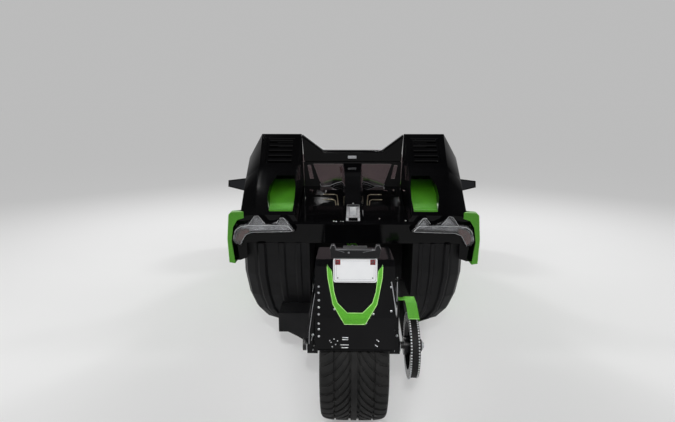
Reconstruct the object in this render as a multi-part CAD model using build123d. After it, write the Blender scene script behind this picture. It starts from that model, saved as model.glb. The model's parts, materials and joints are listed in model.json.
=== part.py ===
from build123d import *
import os
from math import cos, hypot, radians, sin, sqrt, tan

# Three-wheeled roadster: two steered front wheels, one wide driven rear wheel.
# Millimetres. +X is the vehicle's right, +Y forward, +Z up.
# The origin is on the ground below the middle of the overall box.

# Driving dimensions
WHEELBASE = 2667.0
FRONT_OVERHANG = 787.5
REAR_TYRE_RADIUS = 345.5
REAR_TYRE_WIDTH = 305.0
REAR_RIM_RADIUS = 254.0
FRONT_TYRE_RADIUS = 330.0
FRONT_TYRE_WIDTH = 225.0
FRONT_RIM_RADIUS = 228.6
FRONT_TRACK = 1736.0
KINGPIN_OFFSET = 48.0
AXLE_BORE_RADIUS = 9.0
PLATE_WIDTH = 180.0
PLATE_HEIGHT = 106.0

# Wall and sheet thicknesses
TUB_WALL = 8.0
PANEL_WALL = 5.0
GLASS_WALL = 5.0
STEEL_WALL = 6.0
LUG_WALL = 14.0

# Clearances
SEAT_GAP = 0.3
MOVING_GAP = 6.0
PIN_GAP = 0.4

# Places that follow from the driving dimensions
OVERALL_LENGTH = REAR_TYRE_RADIUS + WHEELBASE + FRONT_OVERHANG
REAR_AXLE_Y = REAR_TYRE_RADIUS - OVERALL_LENGTH / 2
FRONT_AXLE_Y = REAR_AXLE_Y + WHEELBASE
NOSE_Y = FRONT_AXLE_Y + FRONT_OVERHANG
WHEEL_X = FRONT_TRACK / 2
KINGPIN_X = WHEEL_X - KINGPIN_OFFSET

# Cockpit tub
TUB_HALF_WIDTH = 640.0
TUB_FLOOR_Z = 140.0
TUB_SILL_Z = 600.0
TUB_CHAMFER = 60.0
PEDAL_INSET = 120.0
TUNNEL_HALF_WIDTH = 130.0
TUNNEL_Z = 330.0
SEAT_HALF_WIDTH = (TUB_HALF_WIDTH - TUB_WALL - TUNNEL_HALF_WIDTH) / 2 - 46.0
SEAT_X = TUNNEL_HALF_WIDTH + SEAT_HALF_WIDTH + 10.0
BULKHEAD_Y = REAR_AXLE_Y + 974.5
FIREWALL_Y = FRONT_AXLE_Y - 312.5
BULKHEAD_BACK = BULKHEAD_Y - STEEL_WALL

# Tail
TAIL_Y = REAR_AXLE_Y + 454.5
DECK_TAIL_Z = 863.0
VALANCE_Z = 735.0
VALANCE_HALF_WIDTH = TUB_HALF_WIDTH + 54.0
DECK_HALF_WIDTH = 315.0
BAR_LOW_Z = 1148.0
BAR_TOP_Z = BAR_LOW_Z + 76.0
SPINE_END_Y = TAIL_Y + 20.0
LAMP_DEPTH = 34.0
WINDOW_TOP_Z = BAR_LOW_Z - 14.0
WINDOW_OUTLINE = [
    (62.0, WINDOW_TOP_Z), (DECK_HALF_WIDTH - 57.0, WINDOW_TOP_Z), (DECK_HALF_WIDTH - 109.0, 986.0),
    (DECK_HALF_WIDTH - 165.0, 991.0), (104.0, 1010.0), (62.0, 1020.0),
]
SIDE_WINDOW_OUTLINE = [
    (DECK_HALF_WIDTH - 41.0, WINDOW_TOP_Z - 8.0), (DECK_HALF_WIDTH - 17.0, WINDOW_TOP_Z - 8.0),
    (DECK_HALF_WIDTH - 33.0, 1036.0), (DECK_HALF_WIDTH - 59.0, 1036.0),
]

# Rear suspension and drive
SWINGARM_LENGTH = 600.0
SWINGARM_PIVOT_Y = REAR_AXLE_Y + SWINGARM_LENGTH
SWINGARM_PIVOT_Z = 400.0
PIVOT_TUBE_RADIUS = 14.0
ARM_CLEARANCE = 23.5
ARM_INNER_X = REAR_TYRE_WIDTH / 2 + ARM_CLEARANCE
ARM_WIDTH = 50.0
ARM_OUTER_X = ARM_INNER_X + ARM_WIDTH
AXLE_RADIUS = 17.5
AXLE_NUT_RADIUS = 30.0
AXLE_NUT_WIDTH = 18.0
LUG_X = ARM_OUTER_X + MOVING_GAP
PULLEY_X = ARM_OUTER_X + 66.0
PULLEY_RADIUS = 142.0
SPROCKET_RADIUS = 52.0
BELT_WIDTH = 38.0
BELT_THICKNESS = 9.0

ENGINE_HALF_WIDTH = 210.0

# Exhaust
PIPE_RADIUS = 25.0
PIPE_BORE_RADIUS = 21.0

# Front suspension
UPPER_BALL_Z = FRONT_TYRE_RADIUS + 90.0
LOWER_BALL_Z = FRONT_TYRE_RADIUS - 110.0
RAIL_X = 330.0
RAIL_RADIUS = 20.0
HOOP_RADIUS = 16.0
CROSS_RADIUS = 18.0
CROSS_Z = LOWER_BALL_Z - 22.0
TOWER_X = RAIL_X + 42.0
TOWER_Z = UPPER_BALL_Z + 180.0
ARM_TUBE_RADIUS = 13.0
ARM_SPREAD = 24.0
BALL_RING_RADIUS = 21.0
BALL_RING_HEIGHT = 24.0
BALL_PIN_RADIUS = 8.0
SPINDLE_RADIUS = 22.0
DISC_RADIUS = 149.0
DISC_THICKNESS = 22.0
DISC_X = KINGPIN_X + 22.0
STEER_ARM = 95.0
STEER_ARM_INBOARD = 75.0
TIE_ROD_Z = FRONT_TYRE_RADIUS - 42.0
TIE_BALL_RADIUS = 12.0
RACK_AHEAD = 30.0
RACK_RADIUS = 22.0
RACK_Y = FRONT_AXLE_Y + STEER_ARM + RACK_AHEAD

# Steering wheel
STEER_WHEEL_X = 15.0 - SEAT_X
STEER_WHEEL_Y = FIREWALL_Y - 730.0
STEER_WHEEL_Z = 770.0
STEER_WHEEL_RADIUS = 172.0
COLUMN_TILT = 24.0

os.makedirs("parts", exist_ok=True)
parts = {}


# Helpers

def at(axis, level, points):
    """Flat points (u, v) placed in the plane where one axis has a single value."""
    if axis == "X":
        return [(level, u, v) for u, v in points]
    if axis == "Y":
        return [(u, level, v) for u, v in points]
    return [(u, v, level) for u, v in points]


def both_halves(points):
    """An open line from the middle out to the right, completed with its left half."""
    left = [(-u, v) for u, v in reversed(points) if u > 0]
    return left + points


def moved_line(points, distance):
    """The same open line moved sideways, to its right, with mitred corners."""
    moved = []
    for i, (u, v) in enumerate(points):
        normals = []
        for a, b in ((i - 1, i), (i, i + 1)):
            if a < 0 or b >= len(points):
                continue
            du = points[b][0] - points[a][0]
            dv = points[b][1] - points[a][1]
            size = hypot(du, dv)
            normals.append((dv / size, -du / size))
        nu = sum(n[0] for n in normals)
        nv = sum(n[1] for n in normals)
        scale = distance * len(normals) / (nu * nu + nv * nv)
        moved.append((u + nu * scale, v + nv * scale))
    return moved


def band(points, thickness):
    """A closed strip: an open line and the same line moved by a thickness."""
    return points + list(reversed(moved_line(points, thickness)))


def lofted(sections, ruled=True):
    """A solid through closed outlines of 3-D points."""
    return Solid.make_loft([Wire.make_polygon(s) for s in sections], ruled)


def panel(axis, stations, thickness, ruled=True):
    """A sheet through open lines, each given as (level, points), thickened to its right."""
    return lofted([at(axis, level, band(points, thickness)) for level, points in stations], ruled)


def prism(axis, start, end, points, radius=0.0):
    """A straight bar between two levels along an axis, its corners rounded if asked."""
    face = Face(Wire.make_polygon(at(axis, start, points)))
    if radius > 0:
        face = face.fillet_2d(radius, face.vertices())
    way = {"X": (1, 0, 0), "Y": (0, 1, 0), "Z": (0, 0, 1)}[axis]
    return Solid.extrude(face, Vector(*way) * (end - start))


def block(x, y, z):
    """A box from three (low, high) pairs."""
    return prism("Z", z[0], z[1], [(x[0], y[0]), (x[1], y[0]), (x[1], y[1]), (x[0], y[1])])


def rod(start, end, radius):
    """A round bar between two points."""
    way = Vector(*end) - Vector(*start)
    return Solid.make_cylinder(radius, way.length, Plane(origin=start, z_dir=way))


def pipe(points, radius):
    """Round bars joined by balls at the corners of a route."""
    shape = rod(points[0], points[1], radius)
    for a, b in zip(points[1:-1], points[2:]):
        shape = shape + Solid.make_sphere(radius, Plane(a)) + rod(a, b, radius)
    return shape


def turned(profile, x, y, z):
    """A shape turned about a crosswise axle at (y, z), from (offset along X, radius) points."""
    face = Face(Wire.make_polygon([(x + u, y, z + r) for u, r in profile]))
    return Solid.revolve(face, 360, Axis((0, y, z), (1, 0, 0)))


def mirrored(shape):
    """The same shape on the other side of the vehicle."""
    return shape.mirror(Plane.YZ)


def one(shape):
    """The single solid of a boolean result."""
    return shape.solids()[0]


def keep(name, *shapes):
    """Store the solids of one sub-part under its name."""
    solids = [s for shape in shapes for s in shape.solids()]
    parts[name] = solids


def keep_pair(name, shape):
    """Store a right-hand sub-part and its mirror image."""
    keep(name + "_right", shape)
    keep(name + "_left", mirrored(shape))


# Cockpit tub: one moulded shell of floor, tunnel and sills, narrower at the pedals
# columns: y, half width, sill height
TUB_STATIONS = [
    (BULKHEAD_Y, TUB_HALF_WIDTH, TUB_SILL_Z),
    (FIREWALL_Y - 450.0, TUB_HALF_WIDTH, TUB_SILL_Z),
    (FIREWALL_Y, TUB_HALF_WIDTH - PEDAL_INSET, TUB_SILL_Z),
]


def tub_line(half_width, sill_z):
    """The outside of the tub across the vehicle, left to right."""
    right = [
        (TUNNEL_HALF_WIDTH - 20, TUNNEL_Z),
        (TUNNEL_HALF_WIDTH, TUB_FLOOR_Z),
        (half_width - TUB_CHAMFER, TUB_FLOOR_Z),
        (half_width, TUB_FLOOR_Z + TUB_CHAMFER),
        (half_width, sill_z),
    ]
    return both_halves(right)


def make_tub():
    stations = [(y, list(reversed(tub_line(w, z)))) for y, w, z in TUB_STATIONS]
    keep("floor_tub", panel("Y", stations, TUB_WALL))


# Hood: a creased wedge from the windscreen to the nose
# columns: y, half width, edge height, shoulder height, crown height
HOOD_STATIONS = [
    (FIREWALL_Y - 500.0, TUB_HALF_WIDTH + 15.0, 740.0, 815.0, 900.0),
    (FIREWALL_Y - 100.0, TUB_HALF_WIDTH - 90.0, 690.0, 800.0, 872.0),
    (FRONT_AXLE_Y + 37.5, 440.0, 610.0, 715.0, 790.0),
    (NOSE_Y - 340.0, 350.0, 500.0, 585.0, 648.0),
    (NOSE_Y - 100.0, 190.0, 440.0, 478.0, 505.0),
]
OUTLET_ROWS = 4
OUTLET_PITCH = 46.0


def hood_line(w, edge_z, shoulder_z, crown_z):
    """The hood's skin across the vehicle, left to right."""
    right = [
        (0.0, crown_z - 12),
        (w * 0.22, crown_z),
        (w * 0.55, shoulder_z + 8),
        (w * 0.86, shoulder_z - 20),
        (w, edge_z),
    ]
    return both_halves(right)


def hood_under(y):
    """The hood's underside line at any station, between the two stations beside it."""
    for low, high in zip(HOOD_STATIONS, HOOD_STATIONS[1:]):
        if low[0] <= y <= high[0]:
            share = (y - low[0]) / (high[0] - low[0])
            near = moved_line(hood_line(*low[1:]), PANEL_WALL)
            far = moved_line(hood_line(*high[1:]), PANEL_WALL)
            return [(a[0] + (b[0] - a[0]) * share, a[1] + (b[1] - a[1]) * share) for a, b in zip(near, far)]
    return []


def hood_block(raised):
    """All the space under the hood's skin, raised by a distance."""
    sections = []
    for y, w, edge_z, shoulder_z, crown_z in HOOD_STATIONS:
        line = [(x, z + raised) for x, z in hood_line(w, edge_z, shoulder_z, crown_z)]
        base = [(w, edge_z - 300), (-w, edge_z - 300)]
        sections.append(at("Y", y, line + base))
    return lofted(sections)


def make_hood():
    stations = [(row[0], hood_line(*row[1:])) for row in HOOD_STATIONS]
    hood = panel("Y", stations, PANEL_WALL)
    # two heat outlets on the shoulders
    for side in (1, -1):
        for step in range(OUTLET_ROWS):
            y = FIREWALL_Y + 100.0 + step * OUTLET_PITCH
            cut = [(side * 170, y), (side * 300, y - 26), (side * 300, y - 6), (side * 170, y + 20)]
            hood = hood - prism("Z", 600, 1000, cut)
    keep("hood", hood)


def make_firewall():
    under = hood_under(FIREWALL_Y + STEEL_WALL)
    limit = TUB_HALF_WIDTH - PEDAL_INSET - 1.0
    shoulder_z = TUB_SILL_Z + 40.0
    top = [(x, z - SEAT_GAP) for x, z in under if abs(x) < limit]
    left, right = [(-limit, TUB_FLOOR_Z), (-limit, shoulder_z)], [(limit, shoulder_z), (limit, TUB_FLOOR_Z)]
    keep("firewall", prism("Y", FIREWALL_Y, FIREWALL_Y + STEEL_WALL, left + top + right))


# Front fascia: a wrapped shell with the main grille, two side inlets and lamp slots
FASCIA_BACK_Y = NOSE_Y - 380.0
FASCIA_WIDEST_X = 556.0
# columns: z, nose y, bow y, corner x, corner y, back x
FASCIA_LEVELS = [
    (150.0, NOSE_Y - 42, NOSE_Y - 88, 470.0, NOSE_Y - 190, FASCIA_WIDEST_X - 11),
    (330.0, NOSE_Y, NOSE_Y - 52, 500.0, NOSE_Y - 176, FASCIA_WIDEST_X),
    (438.0, NOSE_Y - 22, NOSE_Y - 70, 490.0, NOSE_Y - 195, FASCIA_WIDEST_X - 4),
]
GRILLE_TOP_Z = 385.0
GRILLE_LOW_Z = 185.0
GRILLE_ROWS = 8
GRILLE_BAR = 9.0


def fascia_line(nose_y, bow_y, corner_x, corner_y, back_x):
    right = [(0.0, nose_y), (230.0, bow_y), (corner_x, corner_y), (back_x, FASCIA_BACK_Y + 80)]
    return both_halves(right + [(back_x, FASCIA_BACK_Y)])


def fascia_opening(x_low, x_high, z_low, z_high, lean):
    return [(x_low, z_low), (x_high - lean, z_low), (x_high, z_high), (x_low, z_high)]


def make_fascia():
    stations = [(row[0], fascia_line(*row[1:])) for row in FASCIA_LEVELS]
    shell = panel("Z", stations, PANEL_WALL)
    top = FASCIA_LEVELS[-1]
    roof_line = fascia_line(*top[1:])
    roof = prism("Z", top[0], top[0] + PANEL_WALL, roof_line)
    shell = shell + (roof - hood_block(SEAT_GAP))
    grille_cut = [(-250, GRILLE_TOP_Z), (-190, GRILLE_LOW_Z), (190, GRILLE_LOW_Z), (250, GRILLE_TOP_Z)]
    shell = shell - prism("Y", NOSE_Y - 200, NOSE_Y + 100, grille_cut)
    for side in (1, -1):
        inlet = [(side * x, z) for x, z in fascia_opening(290, 450, 190, 290, 30)]
        lamp = [(side * x, z) for x, z in fascia_opening(300, 480, 345, 405, -10)]
        shell = shell - prism("Y", NOSE_Y - 300, NOSE_Y, inlet) - prism("Y", NOSE_Y - 300, NOSE_Y, lamp)
    keep("front_fascia", shell)


def fascia_layer(depth, thickness):
    """A sheet that follows the fascia at a depth behind its skin."""
    stations = [(row[0], moved_line(fascia_line(*row[1:]), depth)) for row in FASCIA_LEVELS]
    return panel("Z", stations, thickness)


def make_grille():
    """Slatted insert that follows the fascia's skin from just behind it."""
    y = NOSE_Y - 150
    rim = 12.0
    outline = both_halves([(200, GRILLE_LOW_Z - rim), (262, GRILLE_TOP_Z + rim)])
    grille = prism("Y", y, NOSE_Y, outline) & fascia_layer(PANEL_WALL + SEAT_GAP, 12.0)
    pitch = (GRILLE_TOP_Z - GRILLE_LOW_Z) / GRILLE_ROWS
    for row in range(GRILLE_ROWS):
        z = GRILLE_LOW_Z + row * pitch + GRILLE_BAR / 2
        half = 182 + 60 * (z - GRILLE_LOW_Z) / (GRILLE_TOP_Z - GRILLE_LOW_Z)
        high = z + pitch - GRILLE_BAR
        cut = [(GRILLE_BAR, z), (half, z), (half + 4, high), (GRILLE_BAR, high)]
        slot = prism("Y", y - 1, NOSE_Y, cut)
        grille = grille - slot - mirrored(slot)
    keep("grille", grille)


def make_splitter():
    low = FASCIA_LEVELS[0]
    line = fascia_line(*low[1:])
    outer = [(x * 1.01, y + 42 if y > FASCIA_BACK_Y + 1 else y) for x, y in line]
    plate = prism("Z", low[0] - 12, low[0], outer)
    keep("splitter", plate)


def make_headlamps():
    shapes = []
    for side in (1, -1):
        body = [(side * x, z) for x, z in fascia_opening(300.6, 479.4, 345.6, 404.4, -10)]
        shapes.append(prism("Y", NOSE_Y - 300, NOSE_Y, body) & fascia_layer(1.0, 16.0))
    keep("headlamps", *shapes)


# Cockpit and tail

def make_bulkhead():
    base = DECK_TAIL_Z - 1
    right = [(DECK_HALF_WIDTH + 7, BAR_LOW_Z - SEAT_GAP), (DECK_HALF_WIDTH - SEAT_GAP, base)]
    right += [(TUB_HALF_WIDTH, base), (TUB_HALF_WIDTH, TUB_FLOOR_Z + TUB_CHAMFER)]
    right += [(TUB_HALF_WIDTH - TUB_CHAMFER, TUB_FLOOR_Z)]
    plate = prism("Y", BULKHEAD_BACK, BULKHEAD_Y, both_halves(right))
    for side in (1, -1):
        for hole in (WINDOW_OUTLINE, SIDE_WINDOW_OUTLINE):
            plate = plate - prism("Y", BULKHEAD_Y - 20, BULKHEAD_Y + 20, [(side * x, z) for x, z in hole])
    keep("rear_bulkhead", plate)


# Rear tubs: ribbed moulded bins either side of the swingarm
# columns: z, outer x, rear y, corner cut
REAR_TUB_LEVELS = [
    (182.0, TUB_HALF_WIDTH * 0.71, TAIL_Y + 170, 40.0),
    (230.0, TUB_HALF_WIDTH * 0.845, TAIL_Y + 120, 58.0),
    (300.0, TUB_HALF_WIDTH * 0.93, TAIL_Y + 85, 68.0),
    (400.0, TUB_HALF_WIDTH * 0.98, TAIL_Y + 50, 74.0),
    (540.0, TUB_HALF_WIDTH * 1.01, TAIL_Y + 26, 75.0),
    (VALANCE_Z, TUB_HALF_WIDTH * 1.006, TAIL_Y + 12, 70.0),
]
TUB_INNER_RIGHT = PULLEY_X + 53.0
TUB_INNER_LEFT = LUG_X + LUG_WALL + 4.0
# columns: rib's middle and half width as shares of the rear wall from its outer end, height
RIBS = ((0.14, 0.09, 16.0), (0.50, 0.07, 7.0), (0.80, 0.06, 7.0))
RIB_CREST = 0.55
TUB_FLOOR_WALL = 10.0


def rear_tub_outline(inner_x, outer_x, rear_y, corner, wall):
    """Plan of one bin, open toward the bulkhead: six points."""
    x_out = outer_x - wall
    x_in = inner_x + wall
    y_rear = rear_y + wall
    front = BULKHEAD_BACK + (10 if wall else 0)
    return [
        (x_in, front),
        (x_out, front),
        (x_out, y_rear + corner),
        (x_out - corner * 0.35, y_rear + corner * 0.3),
        (x_out - corner, y_rear),
        (x_in, y_rear),
    ]


def with_ribs(outline):
    """The same plan with upright ribs raised on its rear wall."""
    (x_out, y_rear), (x_in, _) = outline[-2:]
    width = x_out - x_in
    ribbed = outline[:-1]
    for middle, half, height in RIBS:
        x = x_out - middle * width
        reach = half * width
        crest = reach * RIB_CREST
        ribbed += [(x + reach, y_rear), (x + crest, y_rear - height)]
        ribbed += [(x - crest, y_rear - height), (x - reach, y_rear)]
    return ribbed + outline[-1:]


def rear_tub(inner_x):
    outer = [at("Z", z, with_ribs(rear_tub_outline(inner_x, *row, 0.0))) for z, *row in REAR_TUB_LEVELS]
    levels = [z for z, *_ in REAR_TUB_LEVELS]
    levels[0] += TUB_FLOOR_WALL
    levels[-1] += TUB_FLOOR_WALL
    inner = []
    for level, (_, *row) in zip(levels, REAR_TUB_LEVELS):
        inner.append(at("Z", level, rear_tub_outline(inner_x, *row, TUB_WALL)))
    return one(lofted(outer) - lofted(inner))


# Splash shield under the left bin, beside the swingarm: outline across the vehicle
SHIELD_OUTLINE = [
    (TUB_INNER_LEFT, 158.0), (316.0, 202.0), (372.0, 231.0), (425.0, 231.0), (425.0, 345.0),
    (TUB_INNER_LEFT, 345.0),
]
SHIELD_Y = (TAIL_Y - 90.0, TAIL_Y + 214.0)


def make_rear_tubs():
    inside = [at("Z", z, rear_tub_outline(TUB_INNER_LEFT, *row, TUB_WALL)) for z, *row in REAR_TUB_LEVELS]
    shield = prism("Y", *SHIELD_Y, SHIELD_OUTLINE) - lofted(inside)
    keep("rear_tubs", rear_tub(TUB_INNER_RIGHT), mirrored(one(rear_tub(TUB_INNER_LEFT) + shield)))


# Tail deck: the black deck between the cowls, its rear valance and the central spine
# side view of the deck's top
# columns: y, z
DECK_LINE = [(BULKHEAD_BACK - 1.3, 985.0), (BULKHEAD_Y - 90, 975.0), (TAIL_Y + 240, 905.0)]
VALANCE_DEPTH = 60.0
# boxes that close the corners below the lamps, and the flat plates beside them
# columns: x outward from the tub, z
CORNER_OUTLINE = [(13.0, 629.1), (48.0, 631.1), (54.0, VALANCE_Z + 5), (13.0, VALANCE_Z + 5)]
CORNER_Y = (TAIL_Y + 15, TAIL_Y + 58)
PLATE_OUTLINE = [(-28.0, 645.0), (16.0, 629.1), (16.0, VALANCE_Z + 5), (-28.0, VALANCE_Z + 5)]
PLATE_REAR_Y = TAIL_Y + 14.5
# columns: y, half width and height at the foot, half width and height at the crest
SPINE_STATIONS = [
    (BULKHEAD_BACK - SEAT_GAP, 78, 960, 58, BAR_LOW_Z - 9),
    (BULKHEAD_Y - 220, 74, 900, 50, 1082),
    (SPINE_END_Y, 62, 850, 44, 966),
]


def make_tail_deck():
    lip = [(TAIL_Y + 12, DECK_TAIL_Z), (TAIL_Y, DECK_TAIL_Z - 14), (TAIL_Y + 14, VALANCE_Z)]
    deck = prism("X", -DECK_HALF_WIDTH, DECK_HALF_WIDTH, band(DECK_LINE + lip, -PANEL_WALL))
    valance_back = [(TAIL_Y + VALANCE_DEPTH, VALANCE_Z), (TAIL_Y + VALANCE_DEPTH, DECK_TAIL_Z)]
    valance = prism("X", -VALANCE_HALF_WIDTH, VALANCE_HALF_WIDTH, lip + valance_back)
    sections = []
    for y, foot, low, crest, high in SPINE_STATIONS:
        sections.append(at("Y", y, [(-foot, low), (foot, low), (crest, high), (-crest, high)]))
    box = prism("Y", *CORNER_Y, [(TUB_HALF_WIDTH + x, z) for x, z in CORNER_OUTLINE])
    plate = [(TUB_HALF_WIDTH + x, z) for x, z in PLATE_OUTLINE]
    corner = box + prism("Y", PLATE_REAR_Y, PLATE_REAR_Y + TUB_WALL, plate)
    keep("tail_deck", deck + valance + lofted(sections) + corner + mirrored(corner))


# Rear cowls: the humps behind the two occupants, louvred, with a green pocket panel
# columns: y, inner top x, top z, outer top x, shoulder x, shoulder z, base x
COWL_STATIONS = [
    (BULKHEAD_Y + 112, 338.0, 1300.0, TUB_HALF_WIDTH - 64, TUB_HALF_WIDTH + 24, 1160.0, TUB_HALF_WIDTH + 36),
    (BULKHEAD_Y - 10, 332.0, 1330.0, TUB_HALF_WIDTH - 50, TUB_HALF_WIDTH + 38, 1176.0, TUB_HALF_WIDTH + 44),
    (BULKHEAD_Y - 210, 342.0, 1132.0, TUB_HALF_WIDTH - 58, TUB_HALF_WIDTH + 28, 1060.0, TUB_HALF_WIDTH + 36),
    (TAIL_Y + 12, 336.0, 900.0, TUB_HALF_WIDTH - 80, TUB_HALF_WIDTH + 6, 893.0, TUB_HALF_WIDTH + 12),
]


def cowl_outline(inner_top, top_z, outer_top, shoulder_x, shoulder_z, base_x, wall):
    base_z = DECK_TAIL_Z - (20 if wall else 0)
    return [
        (DECK_HALF_WIDTH + wall, base_z),
        (inner_top + wall, top_z - wall),
        (outer_top - wall * 0.6, top_z - wall),
        (shoulder_x - wall, shoulder_z - wall * 0.4),
        (base_x - wall, base_z),
    ]


POCKET_OUTLINE = [
    (357.0, 1092.0), (464.0, 1092.0), (498.0, 1042.0), (504.0, 985.0), (475.0, 896.0), (349.0, 896.0),
    (343.0, 985.0), (345.0, 1042.0),
]
POCKET_MIDDLE = (424.0, 990.0)
POCKET_DEPTH = 78.0
ACCENT_WALL = 4.0
LIP_HEIGHT = 16.0
LOUVRE_X = (372.0, TUB_HALF_WIDTH - 92)
LOUVRE_SLOTS = 5
LOUVRE_RIM = 14.0


def about_pocket(share):
    """The pocket's outline grown or shrunk about its middle."""
    x_mid, z_mid = POCKET_MIDDLE
    return [(x + (x - x_mid) * share, z + (z - z_mid) * share) for x, z in POCKET_OUTLINE]


def face_level(y, stations, column):
    """A tabled height at any station along the cowl."""
    for low, high in zip(stations, stations[1:]):
        if high[0] <= y <= low[0]:
            share = (y - low[0]) / (high[0] - low[0])
            return low[column] + (high[column] - low[column]) * share
    return stations[-1][column]


def louvre_window():
    """Side view of the louvre's opening through the sloped rear face."""
    y_top = COWL_STATIONS[1][0] - 26
    y_low = COWL_STATIONS[2][0] + 28
    z_top = face_level(y_top, COWL_STATIONS, 2)
    z_low = face_level(y_low, COWL_STATIONS, 2)
    half = 60.0
    return [(y_top, z_top + half), (y_low, z_low + half), (y_low, z_low - half), (y_top, z_top - half)]


def pocket_side(depth):
    """Side view of the pocket below the brow, a given depth under the sloped skin."""
    y_top = COWL_STATIONS[2][0] - 4
    y_low = COWL_STATIONS[3][0] + 22
    z_top = face_level(y_top, COWL_STATIONS, 2)
    z_low = face_level(y_low, COWL_STATIONS, 2)
    return [(y_top, z_top + 50), (y_low, z_low + 50), (y_low, z_low - 8), (y_top + depth, z_top - depth)]


def make_cowls():
    outer = lofted([at("Y", row[0], cowl_outline(*row[1:], 0.0)) for row in COWL_STATIONS])
    inner_rows = []
    for i, row in enumerate(COWL_STATIONS):
        y = row[0]
        if i == 0:
            y = y - PANEL_WALL
        if i == len(COWL_STATIONS) - 1:
            y = y + 3 * PANEL_WALL
        values = list(row[1:])
        inner_rows.append(at("Y", y, cowl_outline(*values, PANEL_WALL)))
    inner = lofted(inner_rows)
    y_ends = (TAIL_Y - 40, BULKHEAD_Y)
    x_ends = (DECK_HALF_WIDTH - 50, TUB_HALF_WIDTH + 60)
    pocket = prism("Y", *y_ends, POCKET_OUTLINE) & prism("X", *x_ends, pocket_side(POCKET_DEPTH))
    behind = prism("X", *x_ends, pocket_side(POCKET_DEPTH + PANEL_WALL))
    around = prism("Y", *y_ends, about_pocket(0.055)) & behind
    shell = (outer - inner) + (outer & around) - pocket
    window = louvre_window()
    shell = one(shell - prism("X", *LOUVRE_X, window))
    keep("rear_cowls", shell, mirrored(shell))

    # louvre: a frame with slats in the window
    y_top, z_top = window[0][0] - SEAT_GAP, (window[0][1] + window[3][1]) / 2
    y_low, z_low = window[1][0] + SEAT_GAP, (window[1][1] + window[2][1]) / 2
    slope = [(y_top, z_top - 4), (y_low, z_low - 4), (y_low, z_low - 14), (y_top, z_top - 14)]
    frame = prism("X", LOUVRE_X[0] + SEAT_GAP, LOUVRE_X[1] - SEAT_GAP, slope)
    for i in range(LOUVRE_SLOTS):
        low, high = (i + 0.25) / LOUVRE_SLOTS, (i + 0.80) / LOUVRE_SLOTS
        y_a, z_a = y_top + (y_low - y_top) * low, z_top + (z_low - z_top) * low
        y_b, z_b = y_top + (y_low - y_top) * high, z_top + (z_low - z_top) * high
        cut = [(y_a, z_a + 10), (y_b, z_b + 10), (y_b, z_b - 30), (y_a, z_a - 30)]
        frame = frame - prism("X", LOUVRE_X[0] + LOUVRE_RIM, LOUVRE_X[1] - LOUVRE_RIM, cut)
    keep("cowl_louvres", frame, mirrored(frame))

    # green panel on the pocket's floor, with a lip along its lower edge
    side = pocket_side(POCKET_DEPTH)
    line = moved_line([side[3], side[2]], SEAT_GAP)
    sheet = prism("X", *x_ends, band(line, ACCENT_WALL))
    y_low, z_low = line[1]
    lip = block(x_ends, (y_low, y_low + LIP_HEIGHT * 1.6), (z_low - 20, z_low + LIP_HEIGHT))
    deep = 400.0
    below = [(line[0][0], line[0][1] - deep), (y_low - 100, z_low - deep), (y_low - 100, z_low)]
    under = prism("X", *x_ends, below + [line[1], line[0]])
    (top_y, top_z), (end_y, end_z), _, (wall_y, wall_z) = side
    edge = 1.5
    opening = [(top_y - edge, top_z), (end_y + edge, end_z), (end_y + edge, end_z - deep)]
    room = prism("X", *x_ends, opening + [(wall_y - edge, wall_z - deep), (wall_y - edge, wall_z)])
    face = prism("Y", TAIL_Y, BULKHEAD_Y, about_pocket(-0.012))
    accent = one((sheet + (lip - under)) & face & room)
    keep("accent_panels", accent, mirrored(accent))


BAR_CHAMFER = 12.0


def make_crossbar():
    """Crossbar between the cowls, its gussets rising to their tops, chamfered front and rear."""
    top = [(195.0, BAR_TOP_Z), (331.0, COWL_STATIONS[1][2] - 4)]
    low = [(318.0, BAR_LOW_Z)]
    full = both_halves(top + low)
    slim = both_halves([(x, z - BAR_CHAMFER) for x, z in top] + low)
    y_rear, y_front = BULKHEAD_Y - 10, BULKHEAD_Y + 60
    levels = [(y_rear, slim), (y_rear + BAR_CHAMFER, full), (y_front - BAR_CHAMFER, full), (y_front, slim)]
    bar = lofted([at("Y", y, outline) for y, outline in levels])
    fill = lofted([at("Y", row[0], cowl_outline(*row[1:], 0.0)) for row in COWL_STATIONS])
    keep("roll_bar", bar - fill - mirrored(fill))


def make_windows():
    """Two tinted panes between the bar, the spine and the deck."""
    panes = []
    for hole, shrink in ((WINDOW_OUTLINE, 0.006), (SIDE_WINDOW_OUTLINE, 0.03)):
        x_mid = sum(x for x, z in hole) / len(hole)
        z_mid = sum(z for x, z in hole) / len(hole)
        pane = [(x + (x_mid - x) * shrink, z + (z_mid - z) * shrink) for x, z in hole]
        right = prism("Y", BULKHEAD_Y - GLASS_WALL, BULKHEAD_Y, pane)
        panes += [right, mirrored(right)]
    keep("rear_windows", *panes)


# Tail lamp's hooked outline with two upstanding points
# columns: distance in from the valance's end, height above the deck's tail
LAMP_OUTLINE = [
    (8, -103), (27, -127), (60, -134), (71, -110), (92, -72), (119, -62), (355, -54), (371, -47), (327, 16),
    (304, 36), (282, 36), (264, -7), (206, -4), (162, 49), (137, 45), (105, -2), (59, -8), (25, -35),
]


def make_tail_lamps():
    outline = [(VALANCE_HALF_WIDTH - inset, DECK_TAIL_Z + rise) for inset, rise in LAMP_OUTLINE]
    lamp = prism("Y", TAIL_Y - LAMP_DEPTH, TAIL_Y - SEAT_GAP, outline)
    low, high = SPINE_STATIONS[-1][2] + 17, SPINE_STATIONS[-1][4] - 4
    face = [(-41, low), (41, low), (36, high), (-36, high)]
    middle = prism("Y", SPINE_END_Y - 16, SPINE_END_Y - SEAT_GAP, face)
    keep("tail_lamps", lamp, mirrored(lamp), middle)


# Quarter panels: flares behind the cockpit that end in a wide rear face
QUARTER_END_Y = TAIL_Y - 40
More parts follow.
